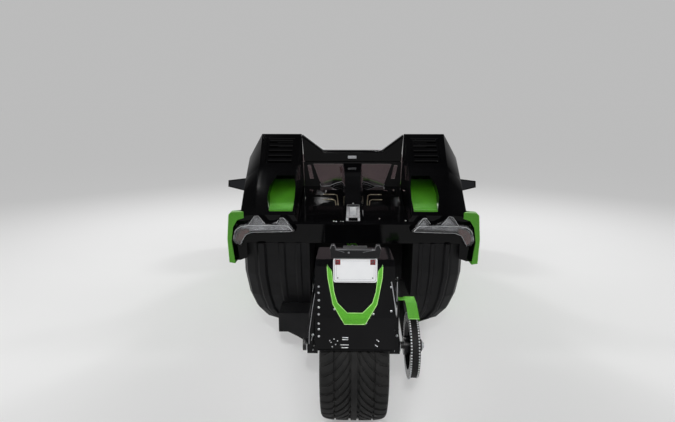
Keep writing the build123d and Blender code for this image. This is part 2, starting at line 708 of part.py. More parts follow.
# columns: y, then x outward from the tub and z: top inner x, top z, shoulder x, shoulder z,
# widest x, low x, low z
QUARTER_STATIONS = [
    (QUARTER_END_Y, -26.0, 930.0, 59.0, 912.0, 71.0, 66.0, 633.0),
    (TAIL_Y + 8, 18.0, 928.0, 62.0, 906.0, 74.0, 69.0, 630.0),
    (TAIL_Y + 300, 46.0, 868.0, 74.0, 842.0, 80.0, 72.0, 604.0),
    (BULKHEAD_Y + 180, 10.0, 700.0, 62.0, 684.0, 76.0, 70.0, 570.0),
]
RIM_DEPTH = 5.0
# inner edge of the rear face, x outward from the tub
RIM_INNER = [(48.0, 759.0), (36.0, 840.0), (12.0, 880.0), (-26.0, 893.0)]


def quarter_line(top_x, top_z, shoulder_x, shoulder_z, widest_x, low_x, low_z):
    middle_z = (shoulder_z + low_z) / 2
    line = [(top_x, top_z), (shoulder_x - 14, top_z - 3), (shoulder_x, shoulder_z), (widest_x, middle_z)]
    line += [(low_x, low_z), (low_x - 34, low_z - 6)]
    return [(TUB_HALF_WIDTH + x, z) for x, z in line]


def make_quarter_panels():
    stations = [(row[0], quarter_line(*row[1:])) for row in QUARTER_STATIONS]
    skin = panel("Y", stations, PANEL_WALL)
    outer = moved_line(quarter_line(*QUARTER_STATIONS[0][1:]), PANEL_WALL / 2)
    inner = [(TUB_HALF_WIDTH + x, z) for x, z in RIM_INNER]
    rim = prism("Y", QUARTER_END_Y + SEAT_GAP, QUARTER_END_Y + RIM_DEPTH, outer + inner)
    quarter = one(skin + rim)
    keep("quarter_panels", quarter, mirrored(quarter))


# Side panels under the cockpit's openings
SIDE_TOP_X = TUB_HALF_WIDTH + SEAT_GAP
SIDE_FRONT_INSET = PEDAL_INSET * 340 / 450
# columns: y, top inner x, top z, belt x, belt z, low x
SIDE_STATIONS = [
    (BULKHEAD_Y + 184, SIDE_TOP_X, 640.0, TUB_HALF_WIDTH + 76, 560.0, TUB_HALF_WIDTH + 52),
    (FIREWALL_Y - 700, SIDE_TOP_X, 620.0, TUB_HALF_WIDTH + 82, 540.0, TUB_HALF_WIDTH + 52),
    (FIREWALL_Y - 450, SIDE_TOP_X, 727.0, TUB_HALF_WIDTH + 76, 560.0, TUB_HALF_WIDTH + 52),
    (FIREWALL_Y - 110, SIDE_TOP_X - SIDE_FRONT_INSET, 684.0, TUB_HALF_WIDTH - 20, 520.0, TUB_HALF_WIDTH - 38),
]


def make_side_panels():
    stations = []
    for y, top_x, top_z, belt_x, belt_z, low_x in SIDE_STATIONS:
        shoulder_x = (top_x + belt_x) / 2 + 14
        line = [(top_x, TUB_SILL_Z - 15), (top_x, top_z), (shoulder_x, top_z - 12), (belt_x, belt_z)]
        line += [(belt_x - 46, 330.0), (low_x, 300.0), (low_x - 70, TUB_FLOOR_Z - 4)]
        stations.append((y, line))
    side = panel("Y", stations, PANEL_WALL)
    keep("side_panels", side, mirrored(side))


def make_windscreen():
    """Three-faced low screen that stands on the hood."""
    low = both_halves([(300, FIREWALL_Y - 215), (TUB_HALF_WIDTH - 80, FIREWALL_Y - 400)])
    high = both_halves([(260, FIREWALL_Y - 400), (TUB_HALF_WIDTH - 200, FIREWALL_Y - 550)])
    screen = panel("Z", [(760.0, low), (1115.0, high)], GLASS_WALL)
    keep("windscreen", one(screen - hood_block(SEAT_GAP)))


DASH_HALF_WIDTH = TUB_HALF_WIDTH - 80.0
# side view, from the firewall
# columns: distance behind it, height
DASH_PROFILE = [(455, 700), (440, 800), (360, 842), (280, 830), (240, 700), (280, 560), (380, 560)]
DASH_BEAM = (466.0, 575.0)
DASH_BEAM_RADIUS = 14.0


def dash_outline(gap):
    """The dashboard's side view, its rear face moved rearward by a gap."""
    return [(FIREWALL_Y - back - (gap if back > 370 else 0), z) for back, z in DASH_PROFILE]


def make_dashboard():
    dash = prism("X", -DASH_HALF_WIDTH, DASH_HALF_WIDTH, dash_outline(0)) & hood_block(-PANEL_WALL - 4.0)
    half = TUB_HALF_WIDTH - TUB_WALL - SEAT_GAP
    y, z = FIREWALL_Y - DASH_BEAM[0], DASH_BEAM[1]
    beam = rod((-half, y, z), (half, y, z), DASH_BEAM_RADIUS)
    tie = block((-30, 30), (y, y + 96), (z - 10, z + 15))
    keep("dashboard", dash + beam + tie)


SEAT_FLOOR_Z = TUB_FLOOR_Z + TUB_WALL + SEAT_GAP
SEAT_ROUNDING = 18.0
# side views of cushion and back, from the bulkhead
# columns: distance ahead of it, height
CUSHION_PROFILE = [(255, SEAT_FLOOR_Z), (730, SEAT_FLOOR_Z), (750, 330), (700, 350), (255, 270)]
BACK_PROFILE = [
    (249, SEAT_FLOOR_Z), (249, 300), (228, 700), (194, 960), (170, 990), (140, 980), (118, 900),
    (122, 560), (155, SEAT_FLOOR_Z),
]


def make_seats():
    seats = []
    for side in (1, -1):
        for profile, inset in ((CUSHION_PROFILE, 0.0), (BACK_PROFILE, 5.0)):
            half = SEAT_HALF_WIDTH - inset
            outline = [(BULKHEAD_Y + y, z) for y, z in profile]
            seats.append(prism("X", side * SEAT_X - half, side * SEAT_X + half, outline, SEAT_ROUNDING))
    keep("seats", *seats)


# Door mirrors
# columns: y, then the head's four corners as x outward from the tub and z
MIRROR_SECTIONS = [
    (FIREWALL_Y - 780, [(198, 844), (343, 880), (339, 932), (190, 950)]),
    (FIREWALL_Y - 690, [(228, 876), (304, 892), (302, 924), (226, 932)]),
]
MIRROR_STALK_RADIUS = 11.0


def make_mirrors():
    w = TUB_HALF_WIDTH
    head = lofted([at("Y", y, [(w + x, z) for x, z in corners]) for y, corners in MIRROR_SECTIONS])
    foot, tip = (w - 40, FIREWALL_Y - 470, 700), (w + 240, FIREWALL_Y - 720, 905)
    stalk = rod(foot, tip, MIRROR_STALK_RADIUS)
    body = []
    for y, top_x, top_z, belt_x, belt_z, _ in SIDE_STATIONS:
        outline = [(0, 0), (belt_x + 9, 0), (belt_x + 9, belt_z), (top_x + 30, top_z + 1), (0, top_z + 1)]
        body.append(at("Y", y, outline))
    mirror = head + (stalk - hood_block(SEAT_GAP) - lofted(body))
    keep("mirrors", mirror, mirrored(mirror))


# Front subframe: four rails with hoops that carry the arms, engine and radiator
FRAME_FRONT_Y = FASCIA_BACK_Y + 20.0
ENGINE_END_Y = FRONT_AXLE_Y + 217.5
BUMPER_Z = 250.0
BUMPER_RADIUS = 14.0


def make_space_frame():
    y_back = FIREWALL_Y + STEEL_WALL
    rear_hoop, engine_hoop, front_hoop = FIREWALL_Y + 80, FRONT_AXLE_Y + 232.5, FRAME_FRONT_Y - RAIL_RADIUS
    frame = None
    for side in (1, -1):
        x = side * RAIL_X
        for z in (LOWER_BALL_Z, UPPER_BALL_Z):
            bar = rod((x, y_back, z), (x, FRAME_FRONT_Y, z), RAIL_RADIUS)
            frame = bar if frame is None else frame + bar
        for y in (rear_hoop, FRONT_AXLE_Y, engine_hoop, front_hoop):
            frame = frame + rod((x, y, LOWER_BALL_Z), (x, y, UPPER_BALL_Z), HOOP_RADIUS)
        tower = (side * TOWER_X, FRONT_AXLE_Y, TOWER_Z)
        for reach in (-112.5, 112.5):
            frame = frame + rod((x, FRONT_AXLE_Y + reach, UPPER_BALL_Z), tower, HOOP_RADIUS)
        frame = frame + Solid.make_sphere(HOOP_RADIUS, Plane(tower))
    for y in (FIREWALL_Y + 50, FRONT_AXLE_Y + 60, engine_hoop, front_hoop):
        frame = frame + rod((-RAIL_X, y, CROSS_Z), (RAIL_X, y, CROSS_Z), CROSS_RADIUS)
    carrier_z = TIE_ROD_Z - RACK_RADIUS - SEAT_GAP - CROSS_RADIUS
    frame = frame + rod((-RAIL_X, RACK_Y, carrier_z), (RAIL_X, RACK_Y, carrier_z), CROSS_RADIUS)
    # bumper beam between the fascia's sides
    low, wide = FASCIA_LEVELS[0], FASCIA_LEVELS[1]
    share = (BUMPER_Z - BUMPER_RADIUS - low[0]) / (wide[0] - low[0])
    half = low[5] + (wide[5] - low[5]) * share - PANEL_WALL - 2 * SEAT_GAP
    beam_y = FASCIA_BACK_Y + 16
    frame = frame + rod((-half, beam_y, BUMPER_Z), (half, beam_y, BUMPER_Z), BUMPER_RADIUS)
    for x in (-RAIL_X, RAIL_X):
        frame = frame + block((x - 8, x + 8), (beam_y - 10, beam_y + 3), (BUMPER_Z - 25, BUMPER_Z + 20))
    keep("space_frame", one(frame))


def make_engine():
    low = CROSS_Z + CROSS_RADIUS + SEAT_GAP
    right = [(120, UPPER_BALL_Z + 220), (200, UPPER_BALL_Z + 140)]
    right += [(ENGINE_HALF_WIDTH, FRONT_TYRE_RADIUS), (170, low)]
    engine = prism("Y", FIREWALL_Y + 30, ENGINE_END_Y, both_halves(right))
    rack_space = block((-RAIL_X, RAIL_X), (RACK_Y - 35, ENGINE_END_Y + 10), (0, TIE_ROD_Z + 40))
    keep("engine", engine - rack_space)


def make_radiator():
    y = FASCIA_BACK_Y + 30 + SEAT_GAP
    core = block((-280, 280), (y + STEEL_WALL, y + STEEL_WALL + 50), (215, 430))
    mount = block((-RAIL_X - 18, RAIL_X + 18), (y, y + STEEL_WALL), (BUMPER_Z - 14, BUMPER_Z + 14))
    keep("radiator", core + mount)


# Front suspension

def arm(ball_z):
    """A V of two tubes from the ball ring to the rail."""
    spread = tan(radians(ARM_SPREAD)) * (KINGPIN_X - RAIL_X)
    ball = Vector(KINGPIN_X, FRONT_AXLE_Y, ball_z)
    half = Vector(0, 0, BALL_RING_HEIGHT / 2)
    shape = rod(tuple(ball - half), tuple(ball + half), BALL_RING_RADIUS)
    for way in (1, -1):
        shape = shape + rod(tuple(ball), (RAIL_X, FRONT_AXLE_Y + way * spread, ball_z), ARM_TUBE_RADIUS)
    rail_y = (FRONT_AXLE_Y - 400, FRONT_AXLE_Y + 400)
    rail = rod((RAIL_X, rail_y[0], ball_z), (RAIL_X, rail_y[1], ball_z), RAIL_RADIUS + SEAT_GAP)
    bore = rod(tuple(ball - half * 2), tuple(ball + half * 2), BALL_PIN_RADIUS + PIN_GAP)
    return shape - rail - bore


DAMPER_FOOT_X = 590.0
DAMPER_HEAD_X = TOWER_X + 20.0
SADDLE_HALF_HEIGHT = 6.0
EYE_RADIUS = 16.0


def make_control_arms():
    upper = one(arm(UPPER_BALL_Z))
    # saddle plate for the damper's lower eye
    x, y, z = DAMPER_FOOT_X, FRONT_AXLE_Y, LOWER_BALL_Z
    plate = block((x - 30, x + 30), (y - 108, y + 108), (z - SADDLE_HALF_HEIGHT, z + SADDLE_HALF_HEIGHT))
    lower = one(arm(LOWER_BALL_Z)) + plate
    keep("control_arms", upper, mirrored(upper), lower, mirrored(lower))


def sprung(low, high, body_radius, coil_radius, first, pitch, coils):
    """A damper body between two points with the coils of its spring as rings."""
    start = Vector(*low)
    unit = (Vector(*high) - start).normalized()
    end = Vector(*high) - unit * 8
    shape = rod(low, tuple(end), body_radius)
    for i in range(coils):
        a = start + unit * (first + i * pitch)
        shape = shape + rod(tuple(a), tuple(a + unit * (pitch / 2)), coil_radius)
    return shape


def make_dampers():
    y = FRONT_AXLE_Y
    low = (DAMPER_FOOT_X, y, LOWER_BALL_Z + SADDLE_HALF_HEIGHT + SEAT_GAP + EYE_RADIUS)
    high = (DAMPER_HEAD_X, y, TOWER_Z - 12)
    eye = rod((low[0], y - 20, low[2]), (low[0], y + 20, low[2]), EYE_RADIUS)
    tower = Solid.make_sphere(HOOP_RADIUS + SEAT_GAP, Plane((TOWER_X, y, TOWER_Z)))
    damper = eye + sprung(low, high, 18, 34, 80, 36, 7) - tower
    keep("dampers", damper, mirrored(damper), rear_shock())


def make_tie_rods():
    rack_end = RAIL_X - 30
    rods = rod((-rack_end, RACK_Y, TIE_ROD_Z), (rack_end, RACK_Y, TIE_ROD_Z), RACK_RADIUS)
    for side in (1, -1):
        inner = (side * rack_end, RACK_Y, TIE_ROD_Z)
        outer = (side * (KINGPIN_X - STEER_ARM_INBOARD), FRONT_AXLE_Y + STEER_ARM, TIE_ROD_Z)
        rods = rods + rod(inner, outer, 8) + Solid.make_sphere(TIE_BALL_RADIUS, Plane(outer))
    keep("steering_rack", rods)


# Knuckle: upright with ball pins, spindle, steering lever, caliper and the fender's stay
UPRIGHT_INNER = 16.0
UPRIGHT_OUTER = 14.0
STAY_RADIUS = 11.0
STAY_X = KINGPIN_X - 80.0
STAY_Y = FRONT_AXLE_Y - 212.0
FENDER_INNER_R = FRONT_TYRE_RADIUS + 20.0
FENDER_X = (STAY_X, WHEEL_X + FRONT_TYRE_WIDTH / 2 + 4.5)
LEVER_THICKNESS = 16.0


def make_knuckle():
    x, y, z = KINGPIN_X, FRONT_AXLE_Y, FRONT_TYRE_RADIUS
    low = LOWER_BALL_Z + BALL_RING_HEIGHT / 2
    high = UPPER_BALL_Z - BALL_RING_HEIGHT / 2
    upright_z = (low + MOVING_GAP, high - MOVING_GAP)
    upright = block((x - UPRIGHT_INNER, x + UPRIGHT_OUTER), (y - 34, y + 34), upright_z)
    pin_low = rod((x, y, low - BALL_RING_HEIGHT), (x, y, low + MOVING_GAP + 1), BALL_PIN_RADIUS)
    pin_high = rod((x, y, high - MOVING_GAP - 1), (x, y, high + BALL_RING_HEIGHT), BALL_PIN_RADIUS)
    spindle = rod((x, y, z), (x + 96, y, z), SPINDLE_RADIUS)
    # steering lever, forward and inboard above the tie rod's end
    lever_z = TIE_ROD_Z + TIE_BALL_RADIUS + MOVING_GAP
    ball_x, ball_y = x - STEER_ARM_INBOARD, y + STEER_ARM
    outline = [(x - 14, y + 4), (x + 8, y + 4), (x + 8, y + 34), (ball_x + 16, ball_y + 12)]
    outline += [(ball_x - 12, ball_y + 12), (ball_x - 14, ball_y - 10), (x - 14, y + 28)]
    lever = prism("Z", lever_z, lever_z + LEVER_THICKNESS, outline)
    # brake caliper behind the axle, straddling the disc
    caliper = block((x - 6, x + 62), (y - 172, y - 96), (z - 60, z + 60))
    slot_x = (DISC_X - MOVING_GAP, DISC_X + DISC_THICKNESS + MOVING_GAP)
    slot = block(slot_x, (y - DISC_RADIUS - 9, y), (z - 80, z + 80))
    bridge = block((x - 6, x + 12), (y - 110, y - 30), (z - 24, z + 24))
    knuckle = upright + pin_low + pin_high + spindle + lever + (caliper - slot) + bridge
    # stay that carries the cycle fender, clear of the arms at full lock
    elbow = (STAY_X, STAY_Y, z + 10)
    rise = sqrt(FENDER_INNER_R ** 2 - (y - STAY_Y) ** 2)
    stay = pipe([(x - 8, y - 20, z + 10), elbow, (STAY_X, STAY_Y, z + rise - 4)], STAY_RADIUS)
    keep_pair("knuckle", one(knuckle + stay))


FENDER_START = 62.0
FENDER_SWEEP = 136.0


def make_front_fender():
    """A creased strip over the top and rear of the tyre, turned about the axle."""
    y, z, r = FRONT_AXLE_Y, FRONT_TYRE_RADIUS, FENDER_INNER_R
    inner, outer = FENDER_X
    profile = [(inner, r), (inner, r + 5), (inner + 60, r + 14), (outer - 50, r + 14), (outer, r - 6)]
    profile += [(outer - 4, r - 10), (outer - 52, r + 8), (inner + 60, r + 8)]
    face = Face(Wire.make_polygon([(u, y, z + v) for u, v in profile]))
    axle = Axis((0, y, z), (1, 0, 0))
    fender = Solid.revolve(face.rotate(axle, -FENDER_START), FENDER_SWEEP, axle)
    stay_way = rod((STAY_X, STAY_Y, z), (STAY_X, STAY_Y, z + 2 * r), STAY_RADIUS + SEAT_GAP)
    keep_pair("front_fender", one(fender - stay_way))


# Wheels
RIM_INSET = 12.0
RIM_WALL = 6.0
FRONT_FACE_OFFSET = 66.0
REAR_FACE_OFFSET = 70.0
SPOKE_PAIRS = 6
# columns: offset from the wheel's middle as a share of half width, height inside the tyre
TREAD_STEPS = ((0.60, 0.0), (0.90, 8.0), (1.0, 34.0))


def tyre(x, y, radius, width, rim_radius):
    half = width / 2
    outer = [(share * half, radius - drop) for share, drop in TREAD_STEPS]
    flange = half - RIM_INSET - SEAT_GAP
    right = outer + [(half - 2, rim_radius + 30), (flange, rim_radius + 12), (flange, rim_radius - 1.7)]
    wall = half - 16
    liner = [(flange - 15, rim_radius - 3.2), (wall, rim_radius + 30)]
    liner += [(wall, radius - 40), (half - 40, radius - 14)]
    left = [(-u, r) for u, r in reversed(right)]
    left_liner = [(-u, r) for u, r in reversed(liner)]
    return turned(left + right + liner + left_liner, x, y, radius)


def rim(x, y, z, rim_radius, width, hub_radius, bore, face_offset):
    """Barrel with two flanges, a hub and paired spokes near the right-hand face."""
    half = width / 2 - RIM_INSET
    r = rim_radius
    right_line = [(half - 40, r - 22), (half - 16, r - 4), (half, r - 2), (half, r + 10)]
    shape = turned(band(both_halves(right_line), RIM_WALL), x, y, z)
    low, high = face_offset - 34, face_offset + 8
    shape = shape + turned([(low, bore), (high, bore), (high, hub_radius), (low, hub_radius)], x, y, z)
    near, far = hub_radius - 14, r - 24
    for i in range(SPOKE_PAIRS):
        for lean in (-9, 9):
            tip = y + lean * 2
            outline = [(y - 9, z + near), (tip - 7, z + far), (tip + 7, z + far), (y + 9, z + near)]
            spoke = prism("X", x + face_offset - 22, x + face_offset + 4, outline)
            shape = shape + spoke.rotate(Axis((0, y, z), (1, 0, 0)), 360.0 / SPOKE_PAIRS * i + lean)
    return one(shape)


def make_front_wheels():
    x, y, z = WHEEL_X, FRONT_AXLE_Y, FRONT_TYRE_RADIUS
    bore = SPINDLE_RADIUS + PIN_GAP
    keep_pair("front_tyre", tyre(x, y, z, FRONT_TYRE_WIDTH, FRONT_RIM_RADIUS))
    keep_pair("front_rim", rim(x, y, z, FRONT_RIM_RADIUS, FRONT_TYRE_WIDTH, 68.0, bore, FRONT_FACE_OFFSET))
    hat = 60.0
    disc_end = DISC_X + DISC_THICKNESS
    disc = turned([(DISC_X, hat), (disc_end, hat), (disc_end, DISC_RADIUS), (DISC_X, DISC_RADIUS)], 0, y, z)
    low, high = DISC_X - 2, x + FRONT_FACE_OFFSET - 34 - SEAT_GAP
    hub = turned([(low, bore), (high, bore), (high, hat + 2), (low, hat + 2)], 0, y, z)
    keep_pair("front_disc", one(disc + hub))


def make_rear_wheel():
    y, z = REAR_AXLE_Y, REAR_TYRE_RADIUS
    keep("rear_tyre", tyre(0, y, z, REAR_TYRE_WIDTH, REAR_RIM_RADIUS))
    bore = AXLE_RADIUS + SEAT_GAP
    keep("rear_rim", rim(0, y, z, REAR_RIM_RADIUS, REAR_TYRE_WIDTH, 75.0, bore, REAR_FACE_OFFSET))
    left, right = -ARM_OUTER_X - AXLE_NUT_WIDTH - MOVING_GAP, PULLEY_X + 44
    left_nut, right_nut = left + AXLE_NUT_WIDTH, right - AXLE_NUT_WIDTH
    profile = [(left, AXLE_BORE_RADIUS), (right, AXLE_BORE_RADIUS), (right, AXLE_NUT_RADIUS)]
    profile += [(right_nut, AXLE_NUT_RADIUS), (right_nut, AXLE_RADIUS), (left_nut, AXLE_RADIUS)]
    profile += [(left_nut, AXLE_NUT_RADIUS), (left, AXLE_NUT_RADIUS)]
    keep("rear_axle", turned(profile, 0, y, z))


PULLEY_WEB = 16.0
PULLEY_HUB_RADIUS = 46.0
PULLEY_WINDOWS = 6
PULLEY_WINDOW_RADIUS = 22.0


def make_pulley():
    y = REAR_AXLE_Y
    z = REAR_TYRE_RADIUS
    half = BELT_WIDTH / 2 + 2
    flange_x, flange_r = -half - 5, PULLEY_RADIUS + 14
    hub_low, hub_high, bore = -half - 24, half + 4, AXLE_RADIUS + SEAT_GAP
    web, web_r, rim_r = PULLEY_WEB / 2, PULLEY_RADIUS - 30, PULLEY_RADIUS - 26
    profile = [(flange_x, flange_r), (-half, flange_r), (-half, PULLEY_RADIUS), (half, PULLEY_RADIUS)]
    profile += [(half, rim_r), (web, web_r), (web, PULLEY_HUB_RADIUS), (hub_high, PULLEY_HUB_RADIUS)]
    profile += [(hub_high, bore), (hub_low, bore), (hub_low, PULLEY_HUB_RADIUS), (-web, PULLEY_HUB_RADIUS)]
    profile += [(-web, web_r), (flange_x, rim_r)]
    pulley = turned(profile, PULLEY_X, y, z)
    window_z = z + (PULLEY_HUB_RADIUS + PULLEY_RADIUS) / 2 - 10
    window = rod((PULLEY_X - half, y, window_z), (PULLEY_X + half, y, window_z), PULLEY_WINDOW_RADIUS)
    for i in range(PULLEY_WINDOWS):
        pulley = pulley - window.rotate(Axis((0, y, z), (1, 0, 0)), 360.0 / PULLEY_WINDOWS * i)
    keep("rear_pulley", one(pulley))


def capsule(r_rear, r_front, low, high):
    """The solid space inside a belt's run round both its pulleys."""
    y_rear, z_rear = REAR_AXLE_Y, REAR_TYRE_RADIUS
    y_front, z_front = SWINGARM_PIVOT_Y, SWINGARM_PIVOT_Z
    big = rod((low, y_rear, z_rear), (high, y_rear, z_rear), r_rear)
    small = rod((low, y_front, z_front), (high, y_front, z_front), r_front)
    span = Vector(0, y_front - y_rear, z_front - z_rear)
    way = span.normalized()
    side = Vector(0, -way.Z, way.Y)
    tilt = (r_rear - r_front) / span.length
    rise = sqrt(1 - tilt * tilt)
    upper = side * rise + way * tilt
    lower = side * -rise + way * tilt
    a, b = Vector(low, y_rear, z_rear), Vector(low, y_front, z_front)
    quad = [a + upper * r_rear, b + upper * r_front, b + lower * r_front, a + lower * r_rear]
    web = Solid.extrude(Face(Wire.make_polygon([tuple(p) for p in quad])), Vector(high - low, 0, 0))
    return big + web + small


BELT_GAP = 1.0
DRIVE_SHAFT_RADIUS = 24.0


def make_belt():
    """One closed band round the rear pulley and the front sprocket's run."""
    y, z = SWINGARM_PIVOT_Y, SWINGARM_PIVOT_Z
    low, high = PULLEY_X - BELT_WIDTH / 2, PULLEY_X + BELT_WIDTH / 2
    back = BELT_GAP + BELT_THICKNESS
    outer = capsule(PULLEY_RADIUS + back, SPROCKET_RADIUS + back, low, high)
    inner = capsule(PULLEY_RADIUS + BELT_GAP, SPROCKET_RADIUS + BELT_GAP, low - 1, high + 1)
    keep("drive_belt", one(outer - inner))
    sprocket = rod((low - 8, y, z), (high + 4, y, z), SPROCKET_RADIUS + BELT_GAP - SEAT_GAP)
    shaft = rod((LUG_X + LUG_WALL + SEAT_GAP, y, z), (low - 8, y, z), DRIVE_SHAFT_RADIUS)
    keep("belt_sprocket", one(sprocket + shaft))


# Belt guard: a short cranked cover over the rear of the belt, on a post of the swingarm
# columns: y, z, inner x from the pulley's middle
GUARD_LINE = [
    (REAR_AXLE_Y - 57.5, REAR_TYRE_RADIUS + 167.5, -32.0),
    (REAR_AXLE_Y + 54.5, REAR_TYRE_RADIUS + 200.5, -32.0),
    (REAR_AXLE_Y + 114.5, REAR_TYRE_RADIUS + 210.5, -37.0),
]
GUARD_WIDTH = 54.0
GUARD_SKIRT = 12.0
GUARD_WALL = 4.0
GUARD_TAB = 8.0
POST_WIDTH = 6.0


# Swingarm: two arms outside the tyre joined by a box ahead of it
BRIDGE_Z = (375.0, 470.0)
ARM_END = -52.0


def make_swingarm():
    y, z = REAR_AXLE_Y, REAR_TYRE_RADIUS
    pivot_y, pivot_z = SWINGARM_PIVOT_Y, SWINGARM_PIVOT_Z
    profile = [(y - 46, z - 24), (y - 10, z - 44), (y + 140, z - 20), (pivot_y + 40, pivot_z - 44)]
    profile += [(pivot_y + 48, pivot_z + 30), (pivot_y - 80, pivot_z + 92), (y + 170, z + 86)]
    profile += [(y - 30, z + 44), (y + ARM_END, z + 16)]
    right = prism("X", ARM_INNER_X, ARM_OUTER_X, profile, 10)
    bridge_y = (y + REAR_TYRE_RADIUS + 30, pivot_y + 30)
    bridge = block((-ARM_INNER_X - 1, ARM_INNER_X + 1), bridge_y, BRIDGE_Z)
    reach = LUG_X + LUG_WALL
    bore = rod((-reach, y, z), (reach, y, z), AXLE_RADIUS + PIN_GAP)
    pivot = rod((-reach, pivot_y, pivot_z), (reach, pivot_y, pivot_z), PIVOT_TUBE_RADIUS)
    guard_y, guard_z, _ = GUARD_LINE[-1]
    post_z = (z + 40, guard_z - GUARD_TAB - SEAT_GAP)
    post = block((ARM_OUTER_X - 1, ARM_OUTER_X + POST_WIDTH), (guard_y - 30, guard_y - 4), post_z)
    keep("swingarm", one(right + mirrored(right) + bridge + post - bore - pivot))

    # pivot brackets on the bulkhead with the pivot tube
    tube = rod((-reach, pivot_y, pivot_z), (reach, pivot_y, pivot_z), PIVOT_TUBE_RADIUS - SEAT_GAP)
    back = BULKHEAD_BACK
    lug = [(back, 260), (back, 560), (pivot_y + 60, pivot_z + 70), (pivot_y - 10, pivot_z + 40)]
    lug += [(pivot_y - 36, pivot_z), (pivot_y - 10, pivot_z - 40), (pivot_y + 60, pivot_z - 60)]
    right = prism("X", LUG_X, reach, lug)
    web = block((-reach, reach), (back - 30, back), (440, 520))
    keep("swingarm_pivot", tube + right + mirrored(right) + web)


# Rear fender with its green trim, plate bracket and plate
FENDER_HALF_WIDTH = ARM_INNER_X - 8.0
TYRE_REAR_Y = REAR_AXLE_Y - REAR_TYRE_RADIUS
TYRE_FRONT_Y = REAR_AXLE_Y + REAR_TYRE_RADIUS
TYRE_TOP_Z = 2 * REAR_TYRE_RADIUS
# side view over the wheel, rear to front
FENDER_OUTLINE = [
    (TYRE_REAR_Y + 8, REAR_TYRE_RADIUS + 148.5), (TYRE_REAR_Y + 16, REAR_TYRE_RADIUS + 294.5),
    (TYRE_REAR_Y + 74, TYRE_TOP_Z + 155), (TYRE_REAR_Y + 120, TYRE_TOP_Z + 171),
    (REAR_AXLE_Y - 5.5, TYRE_TOP_Z + 159), (TYRE_FRONT_Y - 121, TYRE_TOP_Z + 79),
    (TYRE_FRONT_Y - 6, TYRE_TOP_Z - 31), (TYRE_FRONT_Y + 29, TYRE_TOP_Z - 131),
]
FENDER_SKIRT = [
    (TYRE_FRONT_Y - 31, TYRE_TOP_Z - 151), (REAR_AXLE_Y + 134.5, REAR_TYRE_RADIUS + 124.5),
    (REAR_AXLE_Y - 145.5, REAR_TYRE_RADIUS + 124.5),
]
# curved struts between the fender's sides and the rear ends of the swingarm's arms
# columns: outer x, inner x, z
STRUT_LINE = [
    (172.0, FENDER_HALF_WIDTH - 1, 694.0), (184.0, 174.0, 650.0), (198.0, 184.0, 570.0),
    (208.0, 190.0, 497.0), (215.0, 193.0, 450.0), (217.0, 194.0, 380.0), (212.0, 199.0, 346.0),
]
STRUT_DEPTH = 18.0
# half outlines of the trim's U across the vehicle, from the foot up
TRIM_INNER = [(32.0, 661.0), (74.0, 701.0), (89.0, 748.0), (98.0, 830.0)]
TRIM_OUTER = [(43.0, 614.0), (92.0, 696.0), (114.0, 801.0), (117.0, 851.0)]
TRIM_WALL = 5.0
PLATE_Y = TYRE_REAR_Y + 18.0
PLATE_TOP_Z = TYRE_TOP_Z + 210.7
PLATE_WALL = 2.0
# half outline of the bracket's eared head, from the foot up
HEAD_OUTLINE = [(78.0, 938.0), (84.0, 956.0), (97.0, 958.0), (103.0, 942.0), (98.0, PLATE_TOP_Z + SEAT_GAP)]


def make_rear_fender():
    y, z = REAR_AXLE_Y, REAR_TYRE_RADIUS
    half = FENDER_HALF_WIDTH
    inside = half - STEEL_WALL
    outer = prism("X", -half, half, FENDER_OUTLINE + FENDER_SKIRT)
    ends = [(TYRE_FRONT_Y + 23, z), (TYRE_REAR_Y + 20, z)]
    inner = prism("X", -inside, inside, moved_line(FENDER_OUTLINE, STEEL_WALL) + ends)
    wheel = rod((-inside, y, z), (inside, y, z), REAR_TYRE_RADIUS + 16)
    fender = outer - inner - wheel
    # tabs and spigots that carry it on the swingarm's arms
    tab = prism("X", inside, half, [(y + 60, 500), (y + 130, 500), (y + 110, z + 50), (y + 80, z + 50)])
    spigot = rod((half, y + 95, z + 62), (ARM_INNER_X - SEAT_GAP, y + 95, z + 62), 12)
    strut_y = y + ARM_END - SEAT_GAP
    strut_outline = [(outer_x, level) for outer_x, _, level in STRUT_LINE]
    strut_outline += [(inner_x, level) for _, inner_x, level in reversed(STRUT_LINE)]
    hanger = tab + spigot + prism("Y", strut_y - STRUT_DEPTH, strut_y, strut_outline)
    keep("rear_fender", one(fender + hanger + mirrored(hanger)))

    # green U on the fender's rear face
    trim_line = FENDER_OUTLINE[:4]
    skin = prism("X", -half, half, band(moved_line(trim_line, -SEAT_GAP), -TRIM_WALL))
    u_shape = both_halves(TRIM_INNER) + list(reversed(both_halves(TRIM_OUTER)))
    keep("fender_trim", one(prism("Y", TYRE_REAR_Y - 60, TYRE_REAR_Y + 140, u_shape) & skin))

    # bracket with an eared head over the plate
    back_y = TYRE_REAR_Y + 100
    face_y = PLATE_Y + PLATE_WALL + SEAT_GAP
    stem = prism("X", -50, 50, [(face_y, 800), (face_y, 930), (back_y, 930), (back_y, 846)])
    head = prism("Y", PLATE_Y - 10, PLATE_Y + 14, both_halves(HEAD_OUTLINE))
    space = prism("X", -half - 1, half + 1, moved_line(FENDER_OUTLINE, -SEAT_GAP) + FENDER_SKIRT)
    keep("plate_bracket", one(stem + head - space))
    plate_x, plate_z = (-PLATE_WIDTH / 2, PLATE_WIDTH / 2), (PLATE_TOP_Z - PLATE_HEIGHT, PLATE_TOP_Z)
    keep("number_plate", block(plate_x, (PLATE_Y, PLATE_Y + PLATE_WALL), plate_z))


def rear_shock():
    low = (0.0, SWINGARM_PIVOT_Y - 85, BRIDGE_Z[1] + SEAT_GAP + EYE_RADIUS)
    high = (0.0, BULKHEAD_BACK - SEAT_GAP - EYE_RADIUS, 720.0)
    shock = sprung(low, high, 13, 37, 90, 34, 8)
    for _, y, z in (low, high):
        shock = shock + rod((-22, y, z), (22, y, z), EYE_RADIUS)
    return shock


